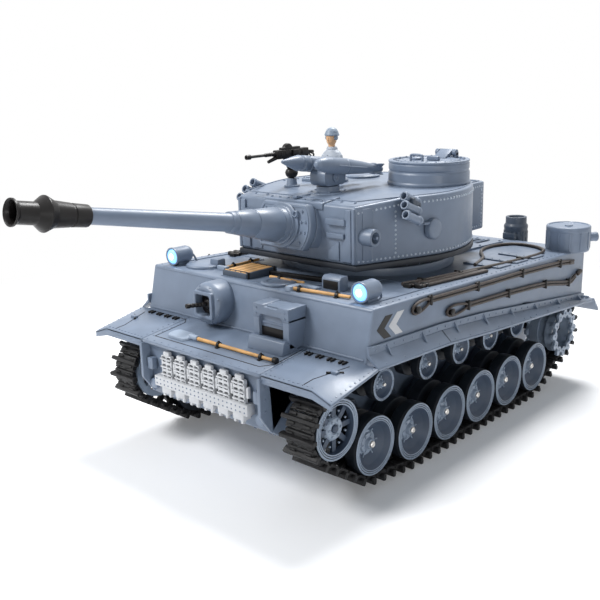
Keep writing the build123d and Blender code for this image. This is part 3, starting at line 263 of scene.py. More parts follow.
def turns(count, start=0.0):
    """Angles of equal steps round a full turn."""
    return [start + 2 * pi * i / count for i in range(count)]


def arc(x, y, radius, start, sweep, steps):
    return [(x + radius * cos(start + sweep * k / steps), y + radius * sin(start + sweep * k / steps))
            for k in range(steps + 1)]


def round_loop(x, y, radius, steps=32):
    return arc(x, y, radius, 0, 2 * pi, steps)[:-1]


def rounded_loop(x, y, width, height, radius, steps=4):
    """A rectangle with rounded corners."""
    points = []
    for corner, (sx, sy) in enumerate(((1, 1), (-1, 1), (-1, -1), (1, -1))):
        points += arc(x + sx * (width / 2 - radius), y + sy * (height / 2 - radius), radius,
                      pi / 2 * corner, pi / 2, steps)
    return points


def strip(width, height, radius=0.4):
    return rounded_loop(0, 0, width, height, radius, 2)


def on_line(line, y):
    """Height at y of a line through two (y, z) points."""
    (y0, z0), (y1, z1) = line
    return z0 + (z1 - z0) * (y - y0) / (y1 - y0)


# ---------------------------------------------------------------- finishes
def finish(name, colour, rough=0.45, vary=0.08, grain=90.0, bump=0.12, metal=0.0, glow=0.0, shine=0.5):
    """Moulded plastic or metal: clouded colour, fine surface grain and uneven gloss; glow lights it."""
    mat = bpy.data.materials.new(name)
    mat.use_nodes = True
    nodes, links = mat.node_tree.nodes, mat.node_tree.links
    shader = nodes["Principled BSDF"]
    place = nodes.new("ShaderNodeTexCoord")

    def noise(scale, detail):
        node = nodes.new("ShaderNodeTexNoise")
        node.inputs["Scale"].default_value = scale
        node.inputs["Detail"].default_value = detail
        links.new(place.outputs["Object"], node.inputs["Vector"])
        return node

    def ramp(source, low, high):
        node = nodes.new("ShaderNodeValToRGB")
        for stop, position, value in zip(node.color_ramp.elements, (0.3, 0.7), (low, high)):
            stop.position, stop.color = position, (*value, 1)
        links.new(source.outputs["Fac"], node.inputs["Fac"])
        return node

    dark = [c * (1 - vary) for c in colour]
    light = [min(1, c * (1 + vary)) for c in colour]
    cloud = ramp(noise(grain, 4.0), dark, light)
    colour_out = cloud.outputs["Color"]
    links.new(colour_out, shader.inputs["Base Color"])
    gloss = ramp(noise(grain * 4, 3.0), (rough * 0.88,) * 3, (min(1, rough * 1.15),) * 3)
    links.new(gloss.outputs["Color"], shader.inputs["Roughness"])
    dents = nodes.new("ShaderNodeBump")
    dents.inputs["Strength"].default_value = bump
    dents.inputs["Distance"].default_value = 0.0002
    links.new(noise(grain * 22, 3.0).outputs["Fac"], dents.inputs["Height"])
    links.new(dents.outputs["Normal"], shader.inputs["Normal"])
    shader.inputs["Metallic"].default_value = metal
    shader.inputs["Specular IOR Level"].default_value = shine
    if glow:
        links.new(colour_out, shader.inputs["Emission Color"])
        shader.inputs["Emission Strength"].default_value = glow
    return mat


GREY = finish("grey_plastic", (0.158, 0.200, 0.272), 0.38)
PALE = finish("pale_grey_plastic", (0.30, 0.36, 0.45), 0.38)
# painted highlight: rivet and stud heads lighter than the grey they are moulded in, as if each caught the
# light
RIVET_HIGHLIGHT = finish("rivet_heads_painted_highlight", (0.42, 0.48, 0.56), 0.35)
WHEEL = finish("wheel_plastic", (0.24, 0.295, 0.375), 0.30)
# painted shade: the darker finish inside the wheel dishes stands for the shade in the hollow, the plastic
# being the wheel's grey
PAINTED_DISH_SHADE = finish("wheel_dish_painted_shade", (0.036, 0.055, 0.090), 0.5)
DARK = finish("dark_grey_plastic", (0.045, 0.062, 0.090), 0.45)
BLACK = finish("black_plastic", (0.008, 0.007, 0.007), 0.36, 0.05, 90, 0.005, shine=0.28)
# painted shadow: near black on the turret's grey flange and ring, standing for the shadow under the turret
UNDER_TURRET_SHADOW = finish("under_turret_painted_shadow", (0.010, 0.014, 0.022), 0.5, 0.15)
TRACK = finish("track_plastic", (0.008, 0.008, 0.009), 0.5, 0.25, 140, 0.3, shine=0.3)
TYRE = finish("tyre_plastic", (0.007, 0.010, 0.015), 0.5, 0.2, shine=0.3)
WHITE = finish("white_plastic", (0.50, 0.51, 0.53), 0.35, 0.03)
METAL = finish("screw_metal", (0.62, 0.60, 0.57), 0.28, 0.15, 200, 0.1, metal=1.0)
CABLE = finish("cable_plastic", (0.034, 0.024, 0.019), 0.42, 0.3, 220, 0.4)
WOOD = finish("tool_handle", (0.60, 0.33, 0.115), 0.45, 0.22, 160, 0.2)
LENS = finish("lamp_lens", (0.22, 0.52, 1.0), 0.15, 0.05, 300, 0.1, glow=1.3)
BULB = finish("lamp_bulb", (0.85, 0.95, 1.0), 0.2, 0.02, 300, 0.1, glow=6.0)
SKIN = finish("figure_face", (0.72, 0.42, 0.22), 0.5, 0.06)
CLOTH = finish("figure_tunic", (0.46, 0.50, 0.56), 0.55, 0.08)
HELMET = finish("figure_helmet", (0.24, 0.30, 0.38), 0.45, 0.1)
GREEN = finish("circuit_board", (0.02, 0.14, 0.05), 0.35, 0.25, 300)
BLUE = finish("battery_wrap", (0.03, 0.10, 0.32), 0.3, 0.1)


def piece(name, shape, body, finishes, nodes=(), sharp=34):
    """Puts a shape into the scene, in metres, riding on its body."""
    mesh = bpy.data.meshes.new(name)
    bm = shape.bm.copy()
    bmesh.ops.scale(bm, vec=(MM, MM, MM), verts=bm.verts)
    for face in bm.faces:
        face.smooth = True
    bm.to_mesh(mesh)
    for mat in finishes:
        mesh.materials.append(mat)
    mesh.set_sharp_from_angle(angle=radians(sharp))
    obj = bpy.data.objects.new(name, mesh)
    scene.collection.objects.link(obj)
    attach(obj, body)
    if nodes:
        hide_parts(*nodes)


# ---------------------------------------------------------------- track
def axle(name):
    """Where a left-hand wheel turns: (y, z)."""
    return tuple(joint_places[f"left_{name}_spin"][1:])


CENTRE_X = joint_places["left_idler_spin"][0]
WHEELS = [axle(f"road_wheel_{number}") for number in range(1, 7)]
ROLLERS = [axle(f"return_roller_{number}") for number in range(1, 6)]
IDLER, SPROCKET = axle("idler"), axle("sprocket")
WHEEL_RADIUS, ROLLER_RADIUS, IDLER_RADIUS, TEETH = 15.3, 8.5, 15.0, 12
WHEEL_FACE, ROLLER_FACE, IDLER_FACE = 75.6, 74.1, 74.0
AXLE_RADIUS, AXLE_BORE = 2.0, 2.06
TRACK_WIDTH, PLATE_WIDTH = 21.0, 15.8
LINK_PITCH, LINK_THICK, GAP = 8.0, 2.7, 0.3
PITCH_RADIUS = LINK_PITCH / (2 * sin(pi / TEETH))
OFFSET = GAP + LINK_THICK / 2


def belt():
    """Places and headings of the links: straight runs between circles, and arcs round them."""
    rounds = [(*IDLER, IDLER_RADIUS + OFFSET)] + [(*WHEELS[i], WHEEL_RADIUS + OFFSET) for i in (0, 1, 5)]
    rounds += [(*SPROCKET, PITCH_RADIUS)] + [(*ROLLERS[i], ROLLER_RADIUS + OFFSET) for i in (4, 0)]
    runs = []
    for (y0, z0, r0), (y1, z1, r1) in zip(rounds, rounds[1:] + rounds[:1]):
        lean = asin((r0 - r1) / hypot(y1 - y0, z1 - z0)) - pi / 2
        a = atan2(z1 - z0, y1 - y0) + lean
        runs.append((a, (y0 + r0 * cos(a), z0 + r0 * sin(a)), (y1 + r1 * cos(a), z1 + r1 * sin(a))))
    path = []
    for i, (a, start, end) in enumerate(runs):
        came = runs[i - 1][0]
        path += arc(*rounds[i], came, (a - came) % (2 * pi), 24)[:-1]
        path.append(start)
        steps = max(1, int(hypot(end[0] - start[0], end[1] - start[1]) / 2))
        path += [(start[0] + (end[0] - start[0]) * k / steps, start[1] + (end[1] - start[1]) * k / steps)
                 for k in range(1, steps)]
    path.append(path[0])
    length = [0.0]
    for p, q in zip(path, path[1:]):
        length.append(length[-1] + hypot(q[0] - p[0], q[1] - p[1]))
    number = round(length[-1] / LINK_PITCH)
    places, k = [], 0
    for i in range(number):
        goal = length[-1] * i / number
        while length[k + 1] <= goal:
            k += 1
        t = (goal - length[k]) / max(1e-9, length[k + 1] - length[k])
        p, q = path[k], path[k + 1]
        places.append((p[0] + (q[0] - p[0]) * t, p[1] + (q[1] - p[1]) * t, atan2(q[1] - p[1], q[0] - p[0])))
    return places


def link_shape():
    """One link lying flat: local Y along the track, Z outwards to the ground side."""
    half, bar_half = PLATE_WIDTH / 2, TRACK_WIDTH / 2
    parts = [side_prism([(-3.1, -1.35), (3.1, -1.35), (3.5, -0.7), (3.5, 0.7), (3.1, 1.35), (-3.1, 1.35),
                         (-3.5, 0.7), (-3.5, -0.7)], -half, half).bevelled(0.2, 1),
             rod((-half - 0.6, 4.0, 0), (half + 0.6, 4.0, 0), 0.55, steps=8),
             side_prism([(-1.3, 1.3), (1.3, 1.3), (0.9, 3.35), (-0.9, 3.35)], -bar_half,
                        bar_half).bevelled(0.25, 1)]
    parts += [block(x, 3.6, -0.9, 3.0, 1.6, 1.8, 0.3) for x in (-6.2, 0, 6.2)]
    parts += [block(x, y, 1.3, 4.2, 1.1, 0.7, 0.2) for x in (-4.9, 4.9) for y in (-2.2, 2.2)]
    parts += [block(x, 0, -0.2, 2.2, 2.2, 1.8, 0.25) for x in (-9.3, 9.3)]
    horn = [[Vector((x * s, y * s, z)) for x, y in ((-1.4, -1.7), (1.4, -1.7), (1.4, 1.7), (-1.4, 1.7))]
            for s, z in ((1, -1.3), (0.92, -4.4), (0.55, -5.85))]
    return gather(parts + [skin(horn).bevelled(0.2, 1)])


LINK = link_shape()


def link_place(y, z, heading):
    ahead = Vector((0, cos(heading), sin(heading)))
    out = Vector((0, sin(heading), -cos(heading)))
    side = ahead.cross(out)
    turn = Matrix((side, ahead, out)).transposed().to_4x4()
    return Matrix.Translation((CENTRE_X, y, z)) @ turn


left_track = gather([LINK.moved(link_place(*spot)) for spot in belt()])
piece("left_track_links", left_track, "hull", [TRACK], ["left_track"])
piece("right_track_links", left_track.other_side(), "hull", [TRACK], ["right_track"])


# ---------------------------------------------------------------- wheels
RIM_GAP = 2.5


def face_bolts(y, z, x, ring, count, size, start=0.0):
    """Bolt heads in a ring on the outer face of a wheel."""
    return gather([bolt((x, y + ring * cos(a), z + ring * sin(a)), LEFT, size, 0.55)
                   for a in turns(count, start)])


def paint_groove_and_dish_shade(body, y, z, face_x, hub, rim):
    """Paints shade on a wheel's face: the fine grooves of the rim get a black finish and the dish inside it a
    darker one, painted shade on what is the wheel's own grey.
    """
    for face in body.bm.faces:
        middle = face.calc_center_median()
        r = hypot(middle.y - y, middle.z - z)
        if r > rim and middle.x < face_x:
            face.material_index = 1
        elif hub < r <= rim:
            face.material_index = 3
    return body


def road_wheel(y, z, outer, radius, deep):
    """Double wheel: dished disc with fine grooves and a bolted hub, black tyre behind it, dark inner disc."""
    inner = 2 * CENTRE_X - outer
    s = radius / WHEEL_RADIUS
    tread = CENTRE_X + RIM_GAP - outer
    face = [(-deep - 0.6, 0), (-deep - 0.6, 6.4 * s), (-deep * 0.5 - 0.6, radius - 5.2 * s),
            (-2.0, radius - 3.4 * s), (-2.0, radius - 0.25), (-0.4, radius - 0.2), (0, radius - 0.6),
            (0, radius - 1.15 * s), (-0.5, radius - 1.2 * s), (-0.5, radius - 1.5 * s),
            (0, radius - 1.55 * s), (0, radius - 2.15 * s), (-0.5, radius - 2.2 * s),
            (-0.5, radius - 2.5 * s), (-0.1, radius - 2.55 * s), (-0.3, radius - 3.0 * s),
            (-deep * 0.5, radius - 4.9 * s), (-deep * 0.9, 6.9 * s), (-deep, 6.2 * s), (-deep + 0.1, 5.3 * s),
            (-deep + 1.2, 4.9 * s), (-deep + 1.4, 3.0 * s), (-deep + 3.4, 2.5 * s), (-deep + 3.6, 0)]
    body = paint_groove_and_dish_shade(lathe(rounded(face, 0.15), (outer, y, z), LEFT, 56), y, z, outer - 0.35, 6.3 * s,
                        radius - 3.0 * s)
    tyre = lathe(rounded([(tread, 0), (tread, radius - 0.5), (tread + 0.5, radius), (-1.4, radius),
                          (-0.8, radius - 0.5), (-0.8, radius - 1.0), (-2.4, radius - 1.4 * s),
                          (-2.4, radius - 3.6 * s), (-deep * 0.5 - 0.9, radius - 5.5 * s),
                          (-deep - 0.9, 6.4 * s), (-deep - 0.9, 0)], 0.15),
                 (outer, y, z), LEFT, 48).finish(1)
    back = lathe(rounded([(0, AXLE_BORE), (0, radius - 2), (0.6, radius),
                          (outer - CENTRE_X - RIM_GAP - 0.1, radius),
                          (outer - CENTRE_X - RIM_GAP, radius - 0.6),
                          (outer - CENTRE_X - RIM_GAP, radius - 4.7),
                          (outer - CENTRE_X + RIM_GAP, radius - 4.7)], 0.25), (inner, y, z), LEFT,
                 40).finish(1)
    bolts = face_bolts(y, z, outer - deep + 1.3, 4.0 * s, 6, 0.62 * s)
    rib = block(0, 0, 0, 0.6 * s, 2.2 * s, 1.2, 0.2).turned(pi / 2, "Y").at(0, 6.5 * s, 0)
    ribs = gather([rib.turned(a, "X").at(outer - deep - 0.1, y, z) for a in turns(6)])
    screw = lathe(rounded([(0, 1.75 * s), (0.7, 1.75 * s), (1.1, 1.3 * s), (1.1, 0.6 * s), (0.6, 0.5 * s),
                           (0.6, 0)], 0.15),
                  (outer - deep + 3.5, y, z), LEFT, 20).finish(2)
    return gather([body, tyre, back, bolts, ribs, screw])


def for_each_side(name, shape, finishes):
    for side, made_shape in (("left", shape), ("right", shape.other_side())):
        node = f"{side}_{name}"
        piece(node + "_body", made_shape, node, finishes, [node])


for kind, spots, *sizes in (("road_wheel", WHEELS, WHEEL_FACE, WHEEL_RADIUS, 6.2),
                            ("return_roller", ROLLERS, ROLLER_FACE, ROLLER_RADIUS, 4.0)):
    for number, (y, z) in enumerate(spots, 1):
        for_each_side(f"{kind}_{number}", road_wheel(y, z, *sizes), [WHEEL, TYRE, METAL, PAINTED_DISH_SHADE])


def spoked_disc(y, z, x, thick, radius, hub, spokes, spoke_width, rim=0.78):
    """Flat disc with straight spokes, its windows cut right through."""
    outer, step = rim * radius, 2 * pi / spokes
    at_rim, at_hub = asin(spoke_width / 2 / outer), asin(spoke_width / 2 / hub)
    windows = [arc(y, z, outer, a + at_rim, step - 2 * at_rim, 6)
               + arc(y, z, hub, a + step - at_hub, 2 * at_hub - step, 3) for a in turns(spokes)]
    return side_prism([round_loop(y, z, radius, 56)] + windows, x - thick, x)


# painted shade: the idler's spokes, its hub screw and the inside of its rim take the darker dish finish
spokes = spoked_disc(*IDLER, 71.4, 1.6, 12.4, 5.6, 8, 2.6, 0.96).bevelled(0.25).finish(2)
rim_profile = [(-3.0, 11.6), (-3.0, IDLER_RADIUS), (-0.4, IDLER_RADIUS), (0, 14.6), (0, 13.9), (-0.5, 13.85),
               (-0.5, 13.55), (0, 13.5), (0, 12.9), (-0.5, 12.85), (-0.5, 12.5), (0, 12.45), (-0.2, 11.8),
               (-3.0, 11.6)]
rim = paint_groove_and_dish_shade(lathe(rounded(rim_profile, 0.12), (IDLER_FACE, *IDLER), LEFT, 56),
                   *IDLER, IDLER_FACE - 0.35, 0, 11.75)
idler = [rim, spokes, spoked_disc(*IDLER, 60.0, 3.0, IDLER_RADIUS, 5.6, 8, 3.0),
         lathe(rounded([(0, AXLE_BORE), (0, 6.3), (13.6, 6.3), (15.2, 5.0), (15.2, 2.6), (14.6, 2.4),
                        (14.6, 0)], 0.3),
               (57.0, *IDLER), LEFT, 40),
         face_bolts(*IDLER, 72.1, 4.0, 6, 0.85), face_bolts(*IDLER, 71.4, 8.6, 8, 0.6, pi / 8),
         lathe([(0, 2.0), (0.9, 2.0), (1.4, 1.4), (1.4, 0)], (71.6, *IDLER), LEFT, 20).finish(2)]
for_each_side("idler", gather(idler), [WHEEL, TYRE, PAINTED_DISH_SHADE, PAINTED_DISH_SHADE])


def toothed_loop(y, z, root, tip):
    tooth = ((root, -0.165), (tip - 0.4, -0.105), (tip, -0.06), (tip, 0.06), (tip - 0.4, 0.105),
             (root, 0.165))
    return [(y + r * cos(a + turn), z + r * sin(a + turn)) for a in turns(TEETH) for r, turn in tooth]


TIP = PITCH_RADIUS + LINK_THICK / 2 - GAP * 2
ROOT = PITCH_RADIUS - LINK_THICK / 2 - GAP
RING_X = CENTRE_X + PLATE_WIDTH / 2 + GAP
INNER_RING_X = 2 * CENTRE_X - RING_X
spiked_hole = [(SPROCKET[0] + r * cos(a + turn), SPROCKET[1] + r * sin(a + turn))
               for a in turns(TEETH) for r, turn in ((9.6, 0), (11.6, pi / TEETH))]
sprocket = [side_prism([toothed_loop(*SPROCKET, ROOT - 0.6, TIP), spiked_hole], RING_X,
                       RING_X + 2.0).bevelled(0.2, 1),
            side_prism([toothed_loop(*SPROCKET, ROOT - 0.5, TIP), round_loop(*SPROCKET, 9.4, 40)],
                       INNER_RING_X - 2.0, INNER_RING_X).bevelled(0.2, 1),
            lathe([(0, 3.0), (0, ROOT - 0.4), (6.0, ROOT - 0.2), (6.0, 12.0), (11.0, 12.0),
                   (11.0, ROOT - 0.2), (15.7, ROOT - 0.4), (15.7, 11.8), (5.0, 11.0), (5.0, 0)],
                  (INNER_RING_X, *SPROCKET), LEFT, 48),
            lathe([(4.9, 0), (4.9, 10.9), (5.6, 10.9), (5.6, 4.8), (9.0, 4.2), (9.6, 3.2), (9.6, 0)],
                  (INNER_RING_X, *SPROCKET), LEFT, 40).finish(1),
            face_bolts(*SPROCKET, RING_X + 1.9, 12.6, 12, 0.6),
            rod((35.2, *SPROCKET), (57, *SPROCKET), 3.0).finish(1)]
for_each_side("drive_sprocket", gather(sprocket), [WHEEL, BLACK])

# ---------------------------------------------------------------- arms and axles
TUB_X = 45.0                 # half the width of the tub that the arms are fixed to
ARM = [(-3.9, -1.4), (-2, -3.7), (2, -3.9), (16.6, 5.3), (17.8, 9), (15.4, 13.2), (11.2, 13.6), (-3, 3)]
arms = []
for y, z in WHEELS:
    arms += [side_prism([(y + dy, z + dz) for dy, dz in ARM], TUB_X + 0.4, 50.3).bevelled(0.5),
             rod((TUB_X, y + 13, z + 9), (50.6, y + 13, z + 9), 3.4),
             rod((TUB_X + 0.3, y, z), (WHEEL_FACE - 4.4, y, z), AXLE_RADIUS)]
for (y, z), face in [(spot, ROLLER_FACE) for spot in ROLLERS] + [(IDLER, IDLER_FACE)]:
    arms += [rod((TUB_X, y, z), (2 * CENTRE_X - face - 0.4, y, z), 3.9),
             rod((TUB_X, y, z), (face - 4.4, y, z), AXLE_RADIUS)]
piece("suspension", gather(arms).both_sides(), "hull", [DARK], ["suspension_arms"])

# ---------------------------------------------------------------- hull
HULL_X = 80.0
TAIL_Y = 166.0
TURRET_Y = joint_places["turret_traverse"][1]
DECK = [(-53.4, 95.2), (TAIL_Y, 87.0)]       # (y, z) from the front plate's top edge to the tail
GLACIS = [(-92.3, 67.0), (-59.2, 71.0)]      # and from the nose to the front plate's foot
FLOOR_LINE = [(-86.5, 36), (-55, 16)]        # the nose's lower slope


def deck_z(y):
    return on_line(DECK, y)


def glacis_z(y):
    return on_line(GLACIS, y)


def deck_point(x, y, lift=0.0):
    return Vector((x, y, deck_z(y) + lift))


def glacis_point(x, y, lift=0.0):
    return Vector((x, y, glacis_z(y) + lift))


def front_y(z):
    return on_line([GLACIS[1][::-1], DECK[0][::-1]], z)


def slope(start, end):
    return Vector((0, end[0] - start[0], end[1] - start[1])).normalized()


FRONT_UP, DECK_BACK, GLACIS_BACK = slope(GLACIS[1], DECK[0]), slope(*DECK), slope(*GLACIS)
FRONT_OUT, DECK_OUT, GLACIS_OUT = (Vector(LEFT).cross(way) for way in (FRONT_UP, DECK_BACK, GLACIS_BACK))


def on_front(x, z, loops, thickness):
    """A plate on the sloping front plate; loops are (x, up the slope) points from its middle."""
    return prism(loops, (x, front_y(z), z), LEFT, FRONT_UP, FRONT_OUT * thickness)


def on_deck(x, y, loops, thickness):
    """A plate on the sloping deck; loops are (x, rearwards) points from its middle."""
    return prism(loops, deck_point(x, y), LEFT, DECK_BACK, DECK_OUT * thickness)


tub = side_prism([(-88.5, 65.4), *FLOOR_LINE, (158, 16), (164, 27), (164, 67.0), (-59.2, 67.0),
                  (-59.2, 68.9)],
                 -TUB_X, TUB_X).bevelled(0.9)
cheek = side_prism([(-93.6, 64.7), (-93.6, 46), (-91.6, 43), (-86.5, 36), (-70, 50), (-70, 66)], 43,
                   45).bevelled(0.4)
nose_parts = [tub, cheek.both_sides()]
for side in (1, -1):
    nose_parts.append(gather([rivet((side * 45, -90.5, z), (side, 0, 0), 0.7, 0.4) for z in (48, 54, 60)]))
nose_out = slope(*FLOOR_LINE).cross(Vector(LEFT))
for y, count in ((-62, 2), (-70, 8), (-78, 2)):
    z = on_line(FLOOR_LINE, y)
    nose_parts.append(row(bolt(ORIGIN, nose_out, 0.8, 0.5), (-38, y, z), (38, y, z), count))
for x in (-40, 40):
    nose_parts.append(lathe(rounded([(0, 0), (0, 3.2), (2.6, 2.8), (2.6, 0)], 0.3), (x, -87.2, 42), AHEAD,
                            24))
    nose_parts.append(block(x, -89.6, 50.5, 4.4, 3.6, 6.4, 0.5))
nose_parts += [block(x, 58, 15.3, 3, 176, 0.9, 0.2) for x in (-28.5, 0, 28.5)]
nose_parts += [row(bolt(ORIGIN, (0, 0, -1), 1.1, 0.6, 12), (x, -45, 16), (x, 150, 16), 7) for x in (-40, 40)]
nose_parts += [block(x, 164.6, 44, 4, 2.4, 10, 0.5) for x in (-30, 30)]
piece("hull_tub", gather(nose_parts), "hull", [GREY], ["lower_hull"])

shell = side_prism([(-59.2, 67.2), GLACIS[1], *DECK, (TAIL_Y, 53), (90, 67.2)], -HULL_X,
                   HULL_X).bevelled(1.1, 3)
glacis = side_prism([(-92.3, 65.0), *GLACIS, (-56, 71.0), (-56, 69.0)], -44, 44).bevelled(0.5)
collar = lathe(rounded([(-4, 0), (-4, 51.1), (1.4, 51.1), (1.4, 47.2), (-1, 46.8), (-1, 0)], 0.4),
               (0, TURRET_Y, 95.6), UP, 96)
upper = [shell, glacis, collar]
# the front plate is plain, with a thin weld bead where it meets the deck and the glacis
upper.append(on_front(0, 94.0, strip(157, 0.9, 0.3), 0.35).bevelled(0.15))
upper.append(on_front(0, 71.8, strip(157, 0.9, 0.3), 0.5).bevelled(0.15))
# rivets round the glacis
edge_rivet = rivet(ORIGIN, UP, 0.5, 0.35)
upper += [row(edge_rivet, glacis_point(-41, -91), glacis_point(41, -91), 15)]
upper += [row(edge_rivet, glacis_point(x, -86.5), glacis_point(x, -62), 5) for x in (-41.5, 41.5)]
# deck panels, hatches and screws
for x, y, w, l in ((-58, -22, 30, 44), (58, -18, 30, 40), (0, -36, 58, 26)):
    upper.append(on_deck(x, y, [rounded_loop(0, 0, w, l, 1.6), rounded_loop(0, 0, w - 1.8, l - 1.8, 1.2)],
                         0.4))
upper.append(lathe(rounded([(0, 0), (0, 10.4), (1.0, 10.4), (1.8, 9.6), (1.8, 0)], 0.3),
                   deck_point(-54, -38), DECK_OUT, 44))
upper.append(block(*deck_point(-47.5, -33.5, -0.3), 7.0, 6.4, 5.4, 1.2))
upper += [row(rivet(ORIGIN, DECK_OUT, 0.6, 0.4), deck_point(x, -50), deck_point(x, 140), 39)
          for x in (-77.2, 77.2)]
for x in (-62, 62):
    for y in (76, 96, 116):
        upper += [on_deck(x, y, strip(24, 15, 1.2), 0.9).bevelled(0.3),
                  row(rivet(ORIGIN, DECK_OUT, 0.5, 0.4), deck_point(x - 10, y - 5.6, 0.9),
                      deck_point(x + 10, y - 5.6, 0.9), 5)]
upper.append(block(0, TAIL_Y, 66, 96, 1.2, 12, 0.4))
upper.append(row(bolt(ORIGIN, BACK, 0.9, 0.6), (-44, TAIL_Y + 0.6, 69), (44, TAIL_Y + 0.6, 69), 9))
piece("hull_shell", gather(upper), "hull", [GREY], ["upper_hull"])

# black and white arrow heads on the sides, raised like printed foil
marks = []
ARROW = [(0, 84.6), (6.6, 90.2), (12.2, 90.0), (5.8, 84.4), (11.0, 79.2), (5.4, 79.4)]
for number, tip_y in enumerate((-51.5, -42.4)):
    marks.append(side_prism([(tip_y + y, z) for y, z in ARROW], HULL_X, HULL_X + 0.15).finish(number))
piece("side_marks", gather(marks).both_sides(), "hull", [BLACK, WHITE])

# thin dark grooves drawn round the glacis panel and the hinged flap of each mudguard
GROOVE = 0.45


def groove(points):
    """A dark line lying on the glacis through (x, y) points."""
    return gather([flat_prism(strip(hypot(x1 - x0, y1 - y0) + GROOVE, GROOVE, 0.1), 0, 0.12).moved(
        Matrix.Translation(glacis_point((x0 + x1) / 2, (y0 + y1) / 2))
        @ Matrix.Rotation(atan2(GLACIS_BACK.z, GLACIS_BACK.y), 4, "X")
        @ Matrix.Rotation(atan2(y1 - y0, x1 - x0), 4, "Z"))
        for (x0, y0), (x1, y1) in zip(points, points[1:])])


lines = [groove([(-44, -62), (-40, -66), (-40, -86.5), (38, -86.5), (43, -81), (43, -62)])]
lines += [groove([(side * x, y) for x, y in route]) for side in (1, -1)
          for route in (((44.5, -62.5), (72, -62.5)), ((69.5, -91), (69.5, -84), (75.5, -66)))]
piece("glacis_grooves", gather(lines), "hull", [BLACK])

# ---------------------------------------------------------------- fenders
# (y, height of the ledge's top, height of the outer edge)
STATIONS = [(-59.2, 78.6, 70.0), (0.0, 76.3, 67.4), (40.0, 73.0, 63.8), (TAIL_Y, 57.8, 54.6)]
STRIP_X, EDGE_X = 81.5, 87.2         # outer faces of the bolted strip and of the fender's edge
STRIP_HEIGHT, FENDER_THICK = 3.7, 1.5


def station(y):
    """Heights at y: the strip's top, its foot and the outer edge."""
    for (y0, ledge0, edge0), (y1, ledge1, edge1) in zip(STATIONS, STATIONS[1:]):
        if y <= y1:
            ledge = on_line([(y0, ledge0), (y1, ledge1)], y)
            return ledge, ledge - STRIP_HEIGHT, on_line([(y0, edge0), (y1, edge1)], y)


def fin_across(y, thick, outline):
    """A thin plate standing across the fender; outline is (x, z) points."""
    return skin([[Vector((x, t, z)) for x, z in outline] for t in (y, y + thick)]).bevelled(0.1, 1)


sections = []
for y, *_ in STATIONS:
    ledge, foot, edge = station(y)
    sections.append([Vector((x, y, z)) for x, z in (
        (HULL_X, ledge), (STRIP_X, ledge), (STRIP_X, foot), (EDGE_X, edge),
        (EDGE_X, edge - FENDER_THICK), (HULL_X, foot - FENDER_THICK))])
fender_parts = [skin(sections).bevelled(0.35)]
for i in range(31):
    y = -54 + 7.2 * i
    ledge, foot, edge = station(y)
    fender_parts.append(rivet((STRIP_X, y, ledge - 1.9), LEFT, 0.7, 0.45))
    if i % 2 == 0:
        fender_parts.append(rivet((EDGE_X - 1, y + 2, edge + 0.75), (0.45, 0, 0.9), 0.5, 0.35))
for i in range(8):
    y = -46 + 28.8 * i
    ledge, foot, edge = station(y)
    gusset = [(STRIP_X - 0.1, ledge - 0.4), (STRIP_X - 0.1, foot), (84.6, (foot + edge) / 2 + 0.3)]
    fender_parts.append(fin_across(y, 1.1, gusset))
for y in (0, 84):
    ledge, foot, edge = station(y)
    seam = [(81.6, foot + 0.3), (87.0, edge + 0.3), (87.0, edge - 0.2), (81.6, foot - 0.4)]
    fender_parts.append(fin_across(y, 0.7, seam).finish(1))
flap = side_prism([(TAIL_Y, 54.6), (169, 54.6), (177, 45.6), (175.8, 44.6), (168.4, 53.1), (TAIL_Y, 53.1)],
                  55, EDGE_X).bevelled(0.4)
fender_parts += [flap, row(rivet(ORIGIN, (0, 0.75, 0.66), 0.6, 0.4), (58, 174.5, 48.6), (84, 174.5, 48.6), 6)]
fender_parts += [rod((x - 4, 167.6, 54.8), (x + 4, 167.6, 54.8), 1.0) for x in (62, 80)]
piece("side_fenders", gather(fender_parts).both_sides(), "hull", [GREY, DARK], ["fenders"])

guard_sections = []
for (y, z), drop in zip(GLACIS, (4.1, 1.2)):
    guard_sections.append([Vector((x, y, z - low)) for x, low in (
        (44.2, 0), (76, 0), (EDGE_X, drop), (EDGE_X, drop + 1.5), (76, 1.5), (44.2, 1.5))])
guard = [skin(guard_sections).bevelled(0.5)]
guard += [block(*glacis_point(x + dx, -64.6, -0.3), 1.1, 3.4, 1.3, 0.3).finish(1)
          for x in (49.5, 56.5, 63.5, 70.5) for dx in (-1.1, 1.1)]
flat_rivet = rivet(ORIGIN, GLACIS_OUT, 0.55, 0.4)
guard += [row(flat_rivet, glacis_point(46.5, -90.6), glacis_point(75, -90.6), 11),
          row(flat_rivet, glacis_point(46.2, -87), glacis_point(46.2, -61.5), 8),
          row(rivet(ORIGIN, (0.25, -0.1, 0.95), 0.55, 0.4), (85.6, -90.4, 63.75), (85.6, -61.5, 69.7), 10),
          block(*glacis_point(74.0, -74.5, -0.3), 4.2, 2.4, 1.5, 0.4),
          tube([glacis_point(70.8, -76.6, 0.5), glacis_point(77.4, -72.0, 0.1)], 0.5, 8).finish(1),
          front_prism([(44.6, 66.8), (75.8, 66.8), (86.9, 62.8), (86.9, 59.6), (76, 62.4), (44.6, 62.4)],
                      GLACIS[0][0], -91.2).bevelled(0.3)]
piece("mudguards", gather(guard).both_sides(), "hull", [GREY, BLACK], ["front_mudguards"])

for node, finish_of in (("drive_gearboxes", PALE), ("battery_pack", BLUE), ("control_board", GREEN),
                        ("turret_motor", DARK)):
    part = frame["nodes"][node].data
    part.materials.clear()
    part.materials.append(finish_of)

